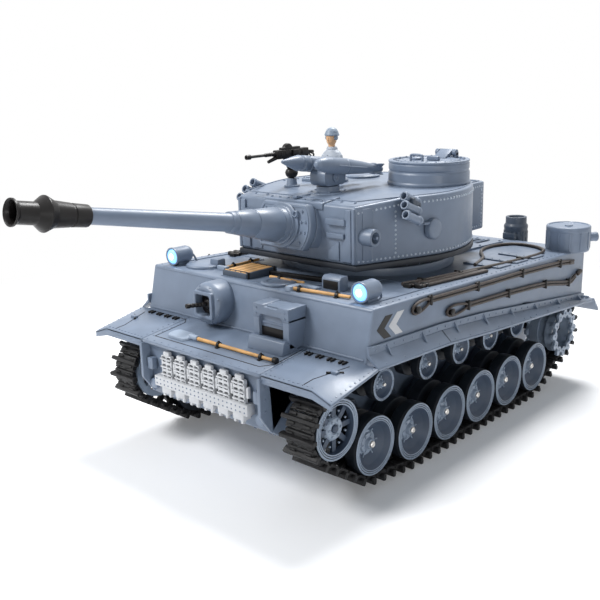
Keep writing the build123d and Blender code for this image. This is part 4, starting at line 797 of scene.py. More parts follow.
# ---------------------------------------------------------------- turret
TRUNNION = Vector(joint_places["gun_elevation"])
TURRET_RADIUS, FACE_HALF, FACE = 61.0, 42.0, -19.7      # round back, and half width and y of the flat front
WALL_FOOT, ROOF_TOP = 104.0, 136.5
ROOF_BREAK = 8.0                                        # forward of this y the roof falls
ROOF = [(FACE, 134.0), (ROOF_BREAK, ROOF_TOP)]


def touch_angle(radius, half, front):
    """Where a straight side from the front corner touches the round back."""
    return atan2(front - TURRET_Y, half) + acos(radius / hypot(half, TURRET_Y - front))


def turret_plan(grow=0.0):
    """Horseshoe outline seen from above: flat front, flared sides, round back."""
    radius, half, front = TURRET_RADIUS + grow, FACE_HALF + grow, FACE - grow
    swing = touch_angle(radius, half, front)
    return [(-half, front), (half, front)] + arc(0, TURRET_Y, radius, swing, pi - 2 * swing, 40)


def roof_z(y):
    return min(ROOF_TOP, on_line(ROOF, y))


def wall_point(share, z):
    """A place and heading on the turret's left wall, from its front corner (0) to the back (1)."""
    swing = touch_angle(TURRET_RADIUS, FACE_HALF, FACE)
    corner = Vector((FACE_HALF, FACE, z))
    flat = Vector((TURRET_RADIUS * cos(swing), TURRET_Y + TURRET_RADIUS * sin(swing), z)) - corner
    run = share * (flat.length + TURRET_RADIUS * (pi / 2 - swing))
    if run <= flat.length:
        way = flat.normalized()
        return corner + way * run, Vector((way.y, -way.x, 0))
    a = swing + (run - flat.length) / TURRET_RADIUS
    normal = Vector((cos(a), sin(a), 0))
    return Vector((0, TURRET_Y, z)) + normal * TURRET_RADIUS, normal


def sloped_roof(shape):
    """Cuts a turret slab to its roof line: level at the back and falling to the front."""
    bm = shape.bm.copy()
    for corner in bm.verts:
        if corner.co.z > ROOF_TOP - 6:
            corner.co.z += roof_z(corner.co.y) - ROOF_TOP
    return Shape(bm)


wall_loop = turret_plan()
slab = flat_prism(wall_loop, WALL_FOOT, ROOF_TOP)
bmesh.ops.bisect_plane(slab.bm, geom=slab.bm.verts[:] + slab.bm.edges[:] + slab.bm.faces[:],
                       plane_co=(0, ROOF_BREAK, 0), plane_no=BACK)
turret = [sloped_roof(slab).bevelled(1.3, 3, 25)]

# left wall: rivets, round port, open tube near the front and a small shelf; the right wall mirrors it
wall = []
# the wall rivets take the lighter painted-highlight finish
for i in range(60):
    share = min(0.012 + 0.0166 * i, 0.99)
    foot, normal = wall_point(share, 106.0)
    head, _ = wall_point(share, roof_z(foot.y) - 3.2)
    wall += [rivet(place, normal, 0.72, 0.5).finish(1) for place in (foot, head)]
wall += [rivet(*wall_point(0.15, 108.2 + 2.4 * i), 0.7, 0.5).finish(1) for i in range(10)]
PORT_Z = 118.5
wall.append(lathe(rounded([(-2, 0), (-2, 5.6), (1.0, 5.6), (1.8, 4.7), (2.2, 3.0), (2.4, 0)], 0.3),
                  (59.4, 24.7, PORT_Z), LEFT, 44))
wall.append(lathe(rounded([(-2, 0), (-2, 4.6), (6.4, 4.6), (6.4, 3.0), (1.0, 2.9), (1.0, 0)], 0.25),
                  (44.0, TRUNNION.y, PORT_Z), LEFT, 32))
wall.append(rod((44.5, TRUNNION.y, PORT_Z), (51.6, TRUNNION.y, PORT_Z), 0.9, steps=12))
place, normal = wall_point(0.27, 121.5)
wall.append(prism([(-4.5, -1), (4.5, -1), (3.2, 3.0), (-3.2, 3.0)],
                  place, Vector(UP).cross(normal), normal, (0, 0, 1.3)).bevelled(0.3))
place, normal = wall_point(0.045, 119.5)
wall.append(prism(rounded_loop(0, 0, 6.0, 27, 0.8),
                  place, Vector(UP).cross(normal), UP, normal * 0.5).bevelled(0.2))
turret.append(gather(wall).both_sides())

# front face beside the mantlet: corner post, raised panel, two broad ribs and a gusset under them
face_side = [block(41.2, FACE - 0.2, 104.8, 1.8, 2.0, 28.4, 0.4),
             front_prism([(33.4, 105.6), (39.9, 105.6), (39.9, 132.4), (36.4, 132.4), (36.4, 118),
                          (33.4, 113)],
                         FACE - 1.2, FACE + 0.3).bevelled(0.35),
             block(30.2, FACE - 0.6, 124.2, 12.6, 3.2, 3.4, 0.5),
             block(29.6, FACE - 0.4, 117.2, 11.4, 2.6, 2.8, 0.5),
             front_prism([(24.4, 105.6), (31.6, 105.6), (31.6, 115.6), (24.4, 110.5)],
                         FACE - 0.7, FACE + 0.3).bevelled(0.3)]
turret.append(gather(face_side).both_sides())
# roof: round plate, vision blocks, raised seam and bolts
turret.append(lathe(rounded([(0, 0), (0, 11.0), (1.2, 11.0), (1.2, 9.8), (1.7, 9.4), (1.7, 0)], 0.25),
                    (-24, 69, ROOF_TOP), UP, 48))
for x, y, width, length in ((-38, 38, 7, 12), (14, 86, 16, 7), (-10, 88, 10, 6)):
    turret += [block(x, y, ROOF_TOP - 0.2, width, length, 2.0, 0.4),
               block(x, y, ROOF_TOP + 1.6, width * 0.6, length * 0.6, 0.8, 0.25)]
turret.append(flat_prism([[(x * share, TURRET_Y + (y - TURRET_Y) * share) for x, y in wall_loop]
                          for share in (0.955, 0.945)], ROOF_TOP - 0.3, ROOF_TOP + 0.3))
turret.append(row(bolt(ORIGIN, (0, -0.09, 1), 0.8, 0.6), (-36, -12, 134.7), (36, -12, 134.7), 9))
turret.append(row(bolt(ORIGIN, UP, 0.7, 0.5), (-52, 28, ROOF_TOP), (-52, 58, ROOF_TOP), 6))
# raised cover over the mantlet, with bolts and a rib
turret.append(side_prism([(-20.6, 131.2), (-20.6, 134.6), (-6, 136.4), (-6, 133)], -21, 21).bevelled(0.5))
turret.append(row(bolt(ORIGIN, (0, -0.1, 1), 0.75, 0.6), (-18, -17.5, 134.9), (18, -17.5, 134.9), 7))
turret.append(block(0, -13, 135.2, 3.0, 12, 1.6, 0.5))
piece("turret_body", gather(turret), "turret", [GREY, RIVET_HIGHLIGHT], ["turret_shell"])

# the flange, ring and skirt under the turret take the near-black painted shadow
base = [flat_prism(turret_plan(0.8), 101, WALL_FOOT).bevelled(0.5).finish(1),
        lathe(rounded([(0, 0), (0, 51.1), (2, 51.1), (2, 0)], 0.3), (0, TURRET_Y, 97.3), UP, 96).finish(1),
        lathe([(0, 44), (0, 46), (14, 46), (14, 44), (0, 44)], (0, TURRET_Y, 87), UP, 72).finish(1)]
base += [rivet((51.1 * cos(a), TURRET_Y + 51.1 * sin(a), 98.3), (cos(a), sin(a), 0), 0.5, 0.35)
         for a in turns(40)]
piece("turret_ring", gather(base), "turret", [GREY, UNDER_TURRET_SHADOW], ["turret_base"])

# stowage bin with its bolted edges, hasps and lid seam
BIN_HALF, BIN_BACK, BIN_TOP, BIN_CORNER = 38.0, 114.0, 133.0, 5.0
bin_loop = [(BIN_HALF, 80)] + arc(BIN_HALF - BIN_CORNER, BIN_BACK - BIN_CORNER, BIN_CORNER, 0, pi / 2, 5)
bin_loop += [(-x, y) for x, y in reversed(bin_loop)]
bin_parts = [flat_prism(bin_loop, WALL_FOOT, BIN_TOP).bevelled(0.9)]
# the bin's studs take the lighter painted-highlight finish
back_stud, side_stud = (rivet(ORIGIN, way, 0.65, 0.45).finish(1) for way in (BACK, LEFT))
bin_parts += [row(back_stud, (-32, BIN_BACK, z), (32, BIN_BACK, z), 22) for z in (106.4, 128.6)]
studs = [row(side_stud, (BIN_HALF, 98, z), (BIN_HALF, 108, z), 5) for z in (106.4, 130.4)]
studs.append(row(side_stud, (BIN_HALF, 108, 108.8), (BIN_HALF, 108, 128.0), 9))
bin_parts.append(gather(studs).both_sides())
for x in (-20, 20):
    bin_parts += [block(x, BIN_BACK, 122, 5, 1.0, 8, 0.3),
                  rod((x - 3, BIN_BACK - 0.8, BIN_TOP), (x + 3, BIN_BACK - 0.8, BIN_TOP), 0.9)]
bin_parts.append(flat_prism([rounded_loop(0, 105, 70, 13, 2), rounded_loop(0, 105, 67.5, 10.5, 1.5)],
                            BIN_TOP - 0.2, BIN_TOP + 0.5))
piece("stowage_box", gather(bin_parts), "turret", [GREY, RIVET_HIGHLIGHT], ["stowage_bin"])

# ---------------------------------------------------------------- gun
def raised(angle):
    """Straight ahead, tilted up by an angle in degrees."""
    return Vector((0, -cos(radians(angle)), sin(radians(angle))))


GUN = raised(10.1)
GUN_SIDE = Vector(LEFT)
GUN_UP = GUN.cross(GUN_SIDE)
MANTLET_RADIUS = 19.6
MANTLET_FACE, BRAKE_REAR = 15.2, 135.5      # measured from the trunnion along the gun


def on_gun(along, side=0.0, up=0.0):
    return TRUNNION + GUN * along + GUN_SIDE * side + GUN_UP * up


def clipped_disc(radius, half_height):
    """A disc seen along the gun, cut flat above and below."""
    edge = asin(half_height / radius)
    left_side = arc(0, 0, radius, -edge, 2 * edge, 12)
    return left_side + [(-x, -y) for x, y in left_side]


mantlet = []
for start, end, half, cut in ((-3, 9.9, 10.2, 0.4), (9.9, MANTLET_FACE, 12.2, 1.0)):
    mantlet.append(prism(clipped_disc(MANTLET_RADIUS, half), on_gun(start), GUN_SIDE, GUN_UP,
                         GUN * (end - start)).bevelled(cut, 3))
for x in (-16.2, -13.2, 13.2, 16.2):
    for up in (-8.2, -2.7, 2.7, 8.2):
        if abs(x) < 14 or abs(up) < 8:
            mantlet.append(bolt(on_gun(MANTLET_FACE, x, up), GUN, 0.75, 0.8))
mantlet.append(prism([clipped_disc(18.6, 11.2), clipped_disc(17.4, 10.1)], on_gun(MANTLET_FACE - 0.1),
                     GUN_SIDE, GUN_UP, GUN * 0.5))
mantlet.append(rod(on_gun(0, -23.9), on_gun(0, 23.9), 2.0))
mantlet += [lathe(rounded([(0, 0), (0, 1.8), (2.4, 1.8), (2.4, 1.1), (1.4, 1.0), (1.4, 0)], 0.15),
                  on_gun(MANTLET_FACE, x, 6.6), GUN, 20) for x in (-9.8, 9.8)]
piece("gun_mantlet", gather(mantlet), "gun", [GREY], ["mantlet"])

barrel_profile = [(15.0, 0), (15.2, 12), (16.4, 12), (16.6, 11.2), (16.6, 10.2), (18, 10.2), (18, 9.3),
                  (21.4, 9.3), (21.4, 8.9), (22.2, 8.9), (22.2, 9.15), (38, 7.35), (38, 7.0), (38.8, 6.95),
                  (38.8, 7.25), (50.6, 5.8), (50.6, 5.5), (51.4, 5.4), (51.4, 5.7), (54.5, 5.4), (54.5, 4.7),
                  (BRAKE_REAR, 3.7), (BRAKE_REAR, 2.5), (BRAKE_REAR + 8, 2.5), (BRAKE_REAR + 8, 0)]
piece("gun_tube", lathe(rounded(barrel_profile, 0.25), TRUNNION, GUN, 56), "gun", [GREY], ["gun_barrel"])
brake_profile = [(0, 2.6), (0, 4.4), (0.5, 4.9), (7.6, 5.1), (7.8, 4.7), (8.6, 4.7), (8.8, 5.2), (16.6, 5.8),
                 (20.5, 7.7), (21.0, 7.7), (24.8, 4.8), (33.2, 4.8), (33.8, 5.1), (34.6, 5.8), (35.5, 5.8),
                 (35.5, 5.4), (34.9, 4.9), (33.4, 4.3), (26, 4.1), (12, 3.6), (12, 0), (8.2, 0), (8.2, 2.6),
                 (0, 2.6)]
piece("muzzle", lathe(rounded(brake_profile, 0.1), on_gun(BRAKE_REAR), GUN, 64), "gun", [BLACK],
      ["muzzle_brake"], 14)

# ---------------------------------------------------------------- cupola and hatch
HINGE_X, HINGE_Y, HINGE_Z = joint_places["cupola_hatch_hinge"]
CUP_X, CUP_Y = HINGE_X, 66.3


def on_cupola(x, y, z):
    """From the cupola's middle, on the level of the roof."""
    return CUP_X + x, CUP_Y + y, ROOF_TOP + z


cupola = [lathe(rounded([(0, 0), (0, 24.0), (1.2, 24.0), (2.0, 23.4), (6.6, 23.4), (7.4, 22.8), (8.0, 22.8),
                         (8.6, 23.2), (11.6, 23.2), (11.9, 22.9), (12.2, 22.9), (12.5, 23.3), (13.5, 23.3),
                         (13.5, 20.6), (12.6, 20.2), (12.6, 18.2), (11.3, 18.2), (11.3, 0)], 0.25),
                on_cupola(0, 0, 0), UP, 72)]
cupola += [rivet(on_cupola(20.4 * cos(a), 20.4 * sin(a), 13.5), UP, 0.6, 0.45) for a in turns(24)]
for x in (-5.8, 5.8):
    cupola += [side_prism(round_loop(HINGE_Y, HINGE_Z, 2.0, 20), CUP_X + x - 1.2,
                          CUP_X + x + 1.2).bevelled(0.3),
               block(CUP_X + x, HINGE_Y + 0.7, HINGE_Z - 2.8, 2.4, 3.0, 3.0, 0.3)]
cupola.append(rod((CUP_X - 6, HINGE_Y, HINGE_Z), (CUP_X + 6, HINGE_Y, HINGE_Z), 1.0))
piece("cupola_drum", gather(cupola), "turret", [GREY], ["cupola"])
LID_TOP = 13.1
lid = [lathe(rounded([(0, 0), (0, 17.4), (1.2, 17.4), (1.8, 16.6), (1.8, 13), (1.5, 12.7), (1.5, 0)], 0.25),
             on_cupola(0, 0, LID_TOP - 1.5), UP, 64),
       side_prism(arc(HINGE_Y, HINGE_Z, 2.0, pi / 2, -1.25 * pi, 14) + [(79.7, 148.8), (76, 149.8)],
                  CUP_X - 4.2, CUP_X + 4.2).bevelled(0.3),
       lathe(rounded([(0, 0), (0, 3.0), (1.2, 3.0), (1.6, 2.2), (1.6, 0)], 0.2), on_cupola(-6, -4, LID_TOP),
             UP, 28),
       block(*on_cupola(5, -3, LID_TOP), 8, 2.4, 2.6, 0.5)]
handle = [(-5, 0), (-5, 2.8), (-3.8, 3.6), (1.8, 3.6), (3, 2.8), (3, 0)]
lid.append(tube(smooth_path([on_cupola(x, -11, LID_TOP + z) for x, z in handle], 5), 0.7, 12))
lid += [rivet(on_cupola(15 * cos(a), 15 * sin(a), LID_TOP + 0.3), UP, 0.5, 0.35) for a in turns(12)]
piece("cupola_lid", gather(lid), "cupola_hatch", [GREY], ["cupola_hatch"])

# ---------------------------------------------------------------- roof weapons and crew
POST_X, POST_Y, _ = joint_places["roof_gun_swivel"]
POD_X, POD_Y, _ = joint_places["weapon_pod_swivel"]
pedestal = [lathe(rounded([(0, 0), (0, 11.4), (1.6, 11.4), (2.0, 10.6), (2.0, 7.0), (2.6, 6.4), (5.0, 6.4),
                           (5.0, 1.57), (2.4, 1.57), (2.4, 0)], 0.2), (POD_X, POD_Y, 134.6), UP, 48),
            lathe(rounded([(0, 0), (0, 4.6), (0.8, 4.6), (1.0, 3.2), (4.7, 2.8), (4.7, 1.57), (1, 1.57),
                           (1, 0)], 0.15),
                  (POST_X, POST_Y, ROOF_TOP), UP, 28)]
pedestal += [bolt((POD_X + 9.2 * cos(a), POD_Y + 9.2 * sin(a), ROOF_TOP), UP, 0.75, 0.6) for a in turns(8)]
piece("roof_mounts", gather(pedestal), "turret", [GREY], ["pod_pedestal"])

# the roof machine gun, drawn about its bore above the post
ringed = ([(0, 0), (0, 1.4), (1.0, 1.4)]
          + [p for i in range(5) for p in ((1.4 + 1.6 * i, 0.9), (2.0 + 1.6 * i, 1.2))])
muzzle = [(10, 0.8), (20.4, 0.8), (20.8, 1.4), (23.8, 1.3), (23.8, 0.6), (22, 0.5), (22, 0)]
sling = [(0, 16, -1), (-1.7, 17.6, -2.4), (0, 18.4, -4.2), (1.7, 17.6, -2.4), (0, 16, -1)]
mg = [rod((0, 0, -18.3), (0, 0, -14), 1.5),
      lathe(rounded([(0, 0), (0, 2.2), (1.4, 3.4), (3, 3.8), (4.6, 3.2), (5.6, 2), (5.6, 0)], 0.2),
            (0, 0, -14.5), UP, 28),
      rod((0, 0, -10.8), (0, -6, -2), 1.5, 1.2),
      rod((0, 0, -10.8), (0, 6, -2), 1.5, 1.2),
      block(0, 0, -3, 4.2, 26, 5, 0.5),
      block(0, -1, 1.6, 3, 15, 1.6, 0.4),
      block(2.6, 1.5, -1.8, 1.4, 5.4, 3.4, 0.3),
      lathe(rounded(ringed + muzzle, 0.15), (0, -12, 0), AHEAD, 24),
      lathe(rounded([(0, 0), (0, 3.3), (0.6, 3.6), (2.2, 3.6), (2.8, 3.3), (2.8, 0)], 0.3),
            (-1.4, -3, 1.8), LEFT, 32),
      rod((0, -12, -2), (0, -19, -4), 1.2, 0.9),
      rod((0, 12, -0.4), (0, 19, -1), 1.1, 1.0),
      tube(smooth_path(sling, 4), 0.5, 8)]
mg += [block(0, -9.6 + 3.4 * i, -1.2, 4.7, 0.9, 2.2, 0.2) for i in range(6)]
piece("roof_gun", gather(mg).at(POST_X, POST_Y, 156.0), "roof_machine_gun", [BLACK], ["roof_machine_gun"])

# the twin pods, drawn about the foot of their housing
POD_AIM = raised(8.0)
pods = [rod((0, 0, -3.0), (0, 0, 1.1), 1.5),
        side_prism(rounded_loop(0, 4.6, 17.6, 9.0, 3.2, 5), -5.5, 5.5).bevelled(0.4),
        lathe(rounded([(0, 0), (0, 2.6), (0.9, 2.6), (0.9, 1.6), (0.4, 1.4), (0.4, 0)], 0.15), (5.4, 0, 4.6),
              LEFT, 28)]
pointed = [(-38.5, 0), (-38.5, 2.0), (-34, 2.2), (-33, 3.0), (-24, 4.4), (8, 4.4), (8.3, 3.9), (9.3, 3.9),
           (9.6, 4.4), (13.4, 4.4), (13.8, 3.4), (15.6, 3.4), (16.0, 4.4), (22.5, 2.6), (28.2, 0.9),
           (29.5, 0)]
blunt = [(-38.5, 0), (-38.5, 1.5), (-34, 1.8), (-33.4, 2.3), (-20, 3.5), (-6, 4.4), (-5.6, 4.1), (-4.8, 4.1),
         (-4.4, 4.4), (8, 4.4), (12.5, 3.9), (16.4, 2.8), (18.4, 1.5), (19.0, 0)]
for side, profile in ((-1, pointed), (1, blunt)):
    centre = Vector((side * 7.5, 0, 10.8))
    pods += [prism(strip(1.5, 1.1, 0.3), centre + POD_AIM * -20 + Vector((side * 3.9, 0, 0)), LEFT,
                   POD_AIM.cross(GUN_SIDE), POD_AIM * 24).bevelled(0.2),
             lathe(rounded(profile, 0.2), centre, POD_AIM, 40),
             block(side * 3.75, 0, 7.4, 7.5, 14, 4.4, 0.5)]
    for a in turns(4, pi / 4):
        fin_out = GUN_SIDE * cos(a) + GUN_UP * sin(a)
        fin_side = POD_AIM.cross(fin_out)
        pods.append(prism([(-4, 1.5), (5, 3.4), (-1, 4.3), (-4, 4.3)],
                          centre + POD_AIM * -33 - fin_side * 0.25, POD_AIM, fin_out, fin_side * 0.5))
piece("twin_pods", gather(pods).at(POD_X, POD_Y, 139.9), "weapon_pod", [GREY], ["weapon_pod"])


# the crew figure, drawn about the middle of its hatch ring
def ellipse(height, half_x, half_y, lean=0.0):
    return [Vector((half_x * cos(a), lean + half_y * sin(a), height)) for a in turns(24)]


body = ((0.5, 6.9, 4.4), (4, 6.6, 4.3), (9, 7.0, 4.7), (13, 7.3, 4.8), (15.6, 6.9, 4.5), (17.5, 5.6, 3.9),
        (19, 3.6, 3.0), (20.5, 2.4, 2.3))
collar = ((18.6, 3.2, 3.0), (19.6, 3.5, 3.2), (20.6, 3.0, 2.8), (20.8, 2.4, 2.2))
head = ((19.6, 1.9, 1.9, 0), (22.0, 2.0, 2.1, -0.4), (23.4, 2.7, 3.0, -0.4), (25.0, 3.0, 3.3, -0.4),
        (27, 3.15, 3.5, -0.4), (28.6, 3.1, 3.4, -0.4))
crew = [lathe(rounded([(0, 0), (0, 9.5), (1.4, 9.5), (2.1, 8.8), (2.1, 8.0), (1.0, 7.7), (1.0, 0)], 0.2),
              ORIGIN, UP, 40).finish(3),
        skin([ellipse(*section) for section in body]),
        skin([ellipse(*section) for section in collar]),
        skin([ellipse(*section) for section in head]).finish(1),
        front_prism([(-0.5, 24.4), (0.5, 24.4), (0.35, 26.0), (-0.35, 26.0)], -3.4,
                    -4.0).bevelled(0.15).finish(1),
        lathe(rounded([(0, 3.2), (0, 4.4), (0.6, 4.5), (1.6, 4.0), (2.6, 3.7), (4.0, 2.7), (4.7, 1.4),
                       (4.9, 0)], 0.3),
              (0, 0, 27.1), (0, 0.04, 1), 32).finish(2),
        block(0, 0, 26.9, 5.4, 6.4, 1.4, 0.5).finish(2),
        row(rivet(ORIGIN, AHEAD, 0.35, 0.3), (0, -4.75, 8), (0, -4.6, 16), 4)]
shoulder, elbow, hand = Vector((5.8, 0, 15.4)), Vector((7.5, -1, 7.4)), Vector((5.2, -7.6, 4.4))
upper_arm = shoulder * 0.45 + elbow * 0.55 + Vector((0.4, 0, 0.4))
arm = [lathe(rounded([(0, 0), (0, 1.5), (1.0, 1.4), (1.0, 0)], 0.2), (3.0, -0.3, 26.0), LEFT, 18).finish(2),
       tube(smooth_path([shoulder, upper_arm, elbow, (elbow + hand) / 2, hand], 4), 1.75, 16),
       rod(hand + Vector((0.6, 0.9, 0.2)), hand + Vector((-0.9, -1.5, -0.8)), 1.4, 1.0, 14, 0.5).finish(1),
       block(2.9, -4.7, 11.6, 2.6, 0.7, 2.2, 0.25)]
crew.append(gather(arm).both_sides())
piece("crewman", gather(crew).at(-24.0, 40.5, ROOF_TOP), "turret", [CLOTH, SKIN, HELMET, GREY],
      ["crew_figure"])

# ---------------------------------------------------------------- smoke launchers
LAUNCH_BACK = Vector((0, cos(radians(22)), -sin(radians(22))))
launch_tube = [(9.5, 0), (9.5, 1.55), (0, 1.6), (0, 2.3), (0.4, 2.5), (2.0, 2.5), (2.2, 2.2), (11.4, 2.2),
               (11.6, 2.5), (13.7, 2.4), (13.7, 0)]
launchers = []
for place in (Vector((55.0, 3.5, 138.2)), Vector((58.0, -0.2, 134.4)), Vector((60.5, -2.5, 129.9))):
    launchers += [lathe(rounded(launch_tube, 0.15), place, LAUNCH_BACK, 28),
                  rod(place + LAUNCH_BACK * 5.0, place + LAUNCH_BACK * 9.0, 1.5, bevel=0.1).finish(1)]
bracket = [side_prism([(6.0, 126.2), (13.6, 124.4), (14.6, 133.4), (7.6, 136.4)], 50.5, 58.4).bevelled(0.5),
           block(57.6, 7.6, 127.0, 2.6, 2.4, 10, 0.4)]
bracket += [bolt((58.4, y, z), LEFT, 0.7, 0.5) for y, z in ((9, 128), (12.4, 127.4), (9.4, 133.4), (13, 132))]
launchers.append(gather(bracket).finish(1))
piece("smoke_tubes", gather(launchers).both_sides(), "turret", [GREY, DARK], ["smoke_launchers"])

# ---------------------------------------------------------------- front plate fittings
lintel = [(-12, 91.5), (-5.2, 91.5), (-4.2, 90.2), (4.2, 90.2), (5.2, 91.5), (12, 91.5), (12, 84.4),
          (8.2, 84.4), (6.6, 86.4), (-6.6, 86.4), (-8.2, 84.4), (-12, 84.4)]
visor = [block(0, -58.2, 70.5, 22, 16.6, 20.4, 0.5),
         front_prism(lintel, -68.7, -56).bevelled(0.45),
         block(0, -66.4, 81.6, 14.6, 1.0, 1.2, 0.3),
         side_prism([(-73.6, 69.4), (-72.2, 75.6), (-70.4, 76.4), (-66.4, 74.2), (-62.4, 71.0),
                     (-62.4, 69.4)],
                    -12, 12).bevelled(0.5),
         block(0, -66.6, 75.4, 15.6, 0.7, 4.6, 0.2).finish(1)]
jamb = [block(10.0, -62.3, 71.5, 4.0, 12.4, 14.6, 0.4)]
jamb += [bolt((9.6, -68.7, z), AHEAD, 0.6, 0.4) for z in (86.6, 89.6)]
visor.append(gather(jamb).both_sides())
piece("visor", gather(visor).at(28.5, 0, 0), "hull", [GREY, BLACK], ["driver_visor"])

# the bow gun, drawn about the middle of its bowl
barrel_start, barrel_end = Vector((0, 2, 0)), Vector((-4, -10.4, 0.6))
beads = ([(0, 0), (0, 1.3), (3, 1.3)]
         + [p for i in range(4) for p in ((3.4 + 2.0 * i, 1.0), (4.2 + 2.0 * i, 1.3))])
beads += [(12.2, 1.3), (12.2, 0.6), (11, 0.5), (11, 0)]
hull_gun = [lathe(rounded([(13, 0), (13, 11.5), (3.5, 11.5), (1.2, 10.7), (0, 9.2), (0, 7.4), (0.8, 6.8),
                           (4.6, 6.4), (4.6, 0)], 0.3), ORIGIN, BACK, 56),
            front_prism([rounded_loop(0, 0, 14.6, 14.6, 1.6), rounded_loop(0, 0, 10.8, 10.8, 1.2)],
                        -1.6, 2.3).bevelled(0.5),
            front_prism(rounded_loop(0, 0, 11, 11, 1.2), 3.3, 3.9).finish(1),
            lathe(rounded([(0, 0), (0, 4), (2, 3.6), (3.6, 2.2), (4, 0)], 0.3), (0, 5, 0), AHEAD,
                  28).finish(1),
            lathe(rounded(beads, 0.15), barrel_start, barrel_end - barrel_start, 24).finish(1)]
hull_gun += [bolt((10.2 * cos(a), 1.0, 10.2 * sin(a)), AHEAD, 0.6, 0.5) for a in turns(8, pi / 8)]
piece("bow_gun", gather(hull_gun).at(-22.0, -66.7, 83.4), "hull", [GREY, BLACK], ["hull_machine_gun"])

# headlamps, drawn about the middle of the lens's seat
LAMP = (68.5, -49.7, 100.4)
housing = [lathe(rounded([(1.6, 0), (1.6, 4.2), (0, 4.4), (0, 5.2), (1.2, 5.2), (1.4, 4.9), (10.6, 4.9),
                          (12.4, 4.2), (14, 2.6), (14, 0)], 0.25), ORIGIN, BACK, 40),
           block(0, 7, -7.4, 5.6, 7.6, 5, 0.5),
           block(0, 7, -6.2, 9, 10, 1.2, 0.3),
           tube(smooth_path([(0, 13, 0), (0, 16, -1.5), (-1, 18, -6)], 5), 0.6, 10)]
lens = [lathe(rounded([(0, 0), (0, 4.15), (1.0, 4.15), (1.7, 3.6), (2.1, 2.4), (2.1, 1.8), (1.6, 1.6),
                       (1.6, 0)], 0.2),
              (0, 1.6, 0), AHEAD, 36),
        lathe(rounded([(0, 0), (0, 2.0), (0.7, 1.5), (1.0, 0)], 0.3), ORIGIN, AHEAD, 28).finish(1)]
piece("lamp_housings", gather(housing).at(*LAMP).both_sides(), "hull", [GREY], ["headlight_housings"])
piece("lamp_lenses", gather(lens).at(*LAMP).both_sides(), "hull", [LENS, BULB], ["headlight_lenses"])

# ---------------------------------------------------------------- spare links and their rack
holes = [rounded_loop(x, z, 2.5, 2.7, 0.4, 2) for x in (-1.9, 1.9) for z in (50.65, 54.75, 58.85)]
spare = [block(0, -90.2, 40.4, 7.6, 5.2, 3.6, 0.5),
         block(-2.4, -91.6, 38.9, 1.6, 2.0, 2.2, 0.3), block(2.4, -91.6, 38.9, 1.6, 2.0, 2.2, 0.3),
         front_prism([rounded_loop(0, 54.7, 8.0, 12.4, 0.7, 2)] + holes, -91.7, -89.4).bevelled(0.2, 1),
         block(0, -90.6, 60.7, 4.6, 2.2, 2.2, 0.4),
         block(5.4, -90.4, 52.0, 1.6, 1.8, 5.6, 0.3),
         block(0, -87.8, 53.0, 3, 4.6, 3, 0.2)]
spare += [block(0, -92.0, z, 8.4, 0.9, 0.8, 0.2) for z in (50.4, 54.4, 58.6)]
rack = [block(0, -90.0, 43.3, 70, 5.4, 5.7, 0.5), block(0, -90.4, 48.0, 66, 3.6, 1.2, 0.3),
        row(gather(spare), (-25.5, 0, 0), (28.5, 0, 0), 6),
        # a black sheet behind the links: painted shade seen through their holes
        front_prism(rounded_loop(1.5, 54.6, 62, 11, 0.5, 2), -89.2, -88.9).finish(1)]
stud = rivet(ORIGIN, AHEAD, 0.5, 0.3).finish(2)
rack += [row(stud, (-33, -92.7, z), (33, -92.7, z), 23) for z in (45.0, 47.4)]
piece("spare_links", gather(rack), "hull", [WHITE, BLACK, GREY], ["spare_link_rack"])


# ---------------------------------------------------------------- tools
def tool_line(start, end, surface, clamps):
    """A handle lying on a surface, held down by clamps at these shares of its length."""
    a, b = surface(*start, 1.2), surface(*end, 1.2)
    run = (b - a).normalized()
    shapes = [rod(a, b, 1.0, 0.8, 16, 0.3).finish(0)]
    for share in clamps:
        p = a + (b - a) * share
        clamp = [block(0, 0, -1.7, 2.0, 4.2, 1.0, 0.25).turned(atan2(run.y, run.x), "Z").at(*p),
                 lathe([(-0.8, 0.8), (-0.8, 1.5), (0.8, 1.5), (0.8, 0.8), (-0.8, 0.8)], p, run, 20),
                 block(p.x, p.y, p.z + 1.2, 1.0, 1.0, 0.9, 0.2)]
        shapes.append(gather(clamp).finish(1))
    return gather(shapes)


def deck_plate(outline, low, high, bevel, number):
    """A flat part that follows the deck's slope, from low to high above it."""
    sections = [[deck_point(x, y, lift) for x, y in outline] for lift in (low, high)]
    return skin(sections).bevelled(bevel).finish(number)


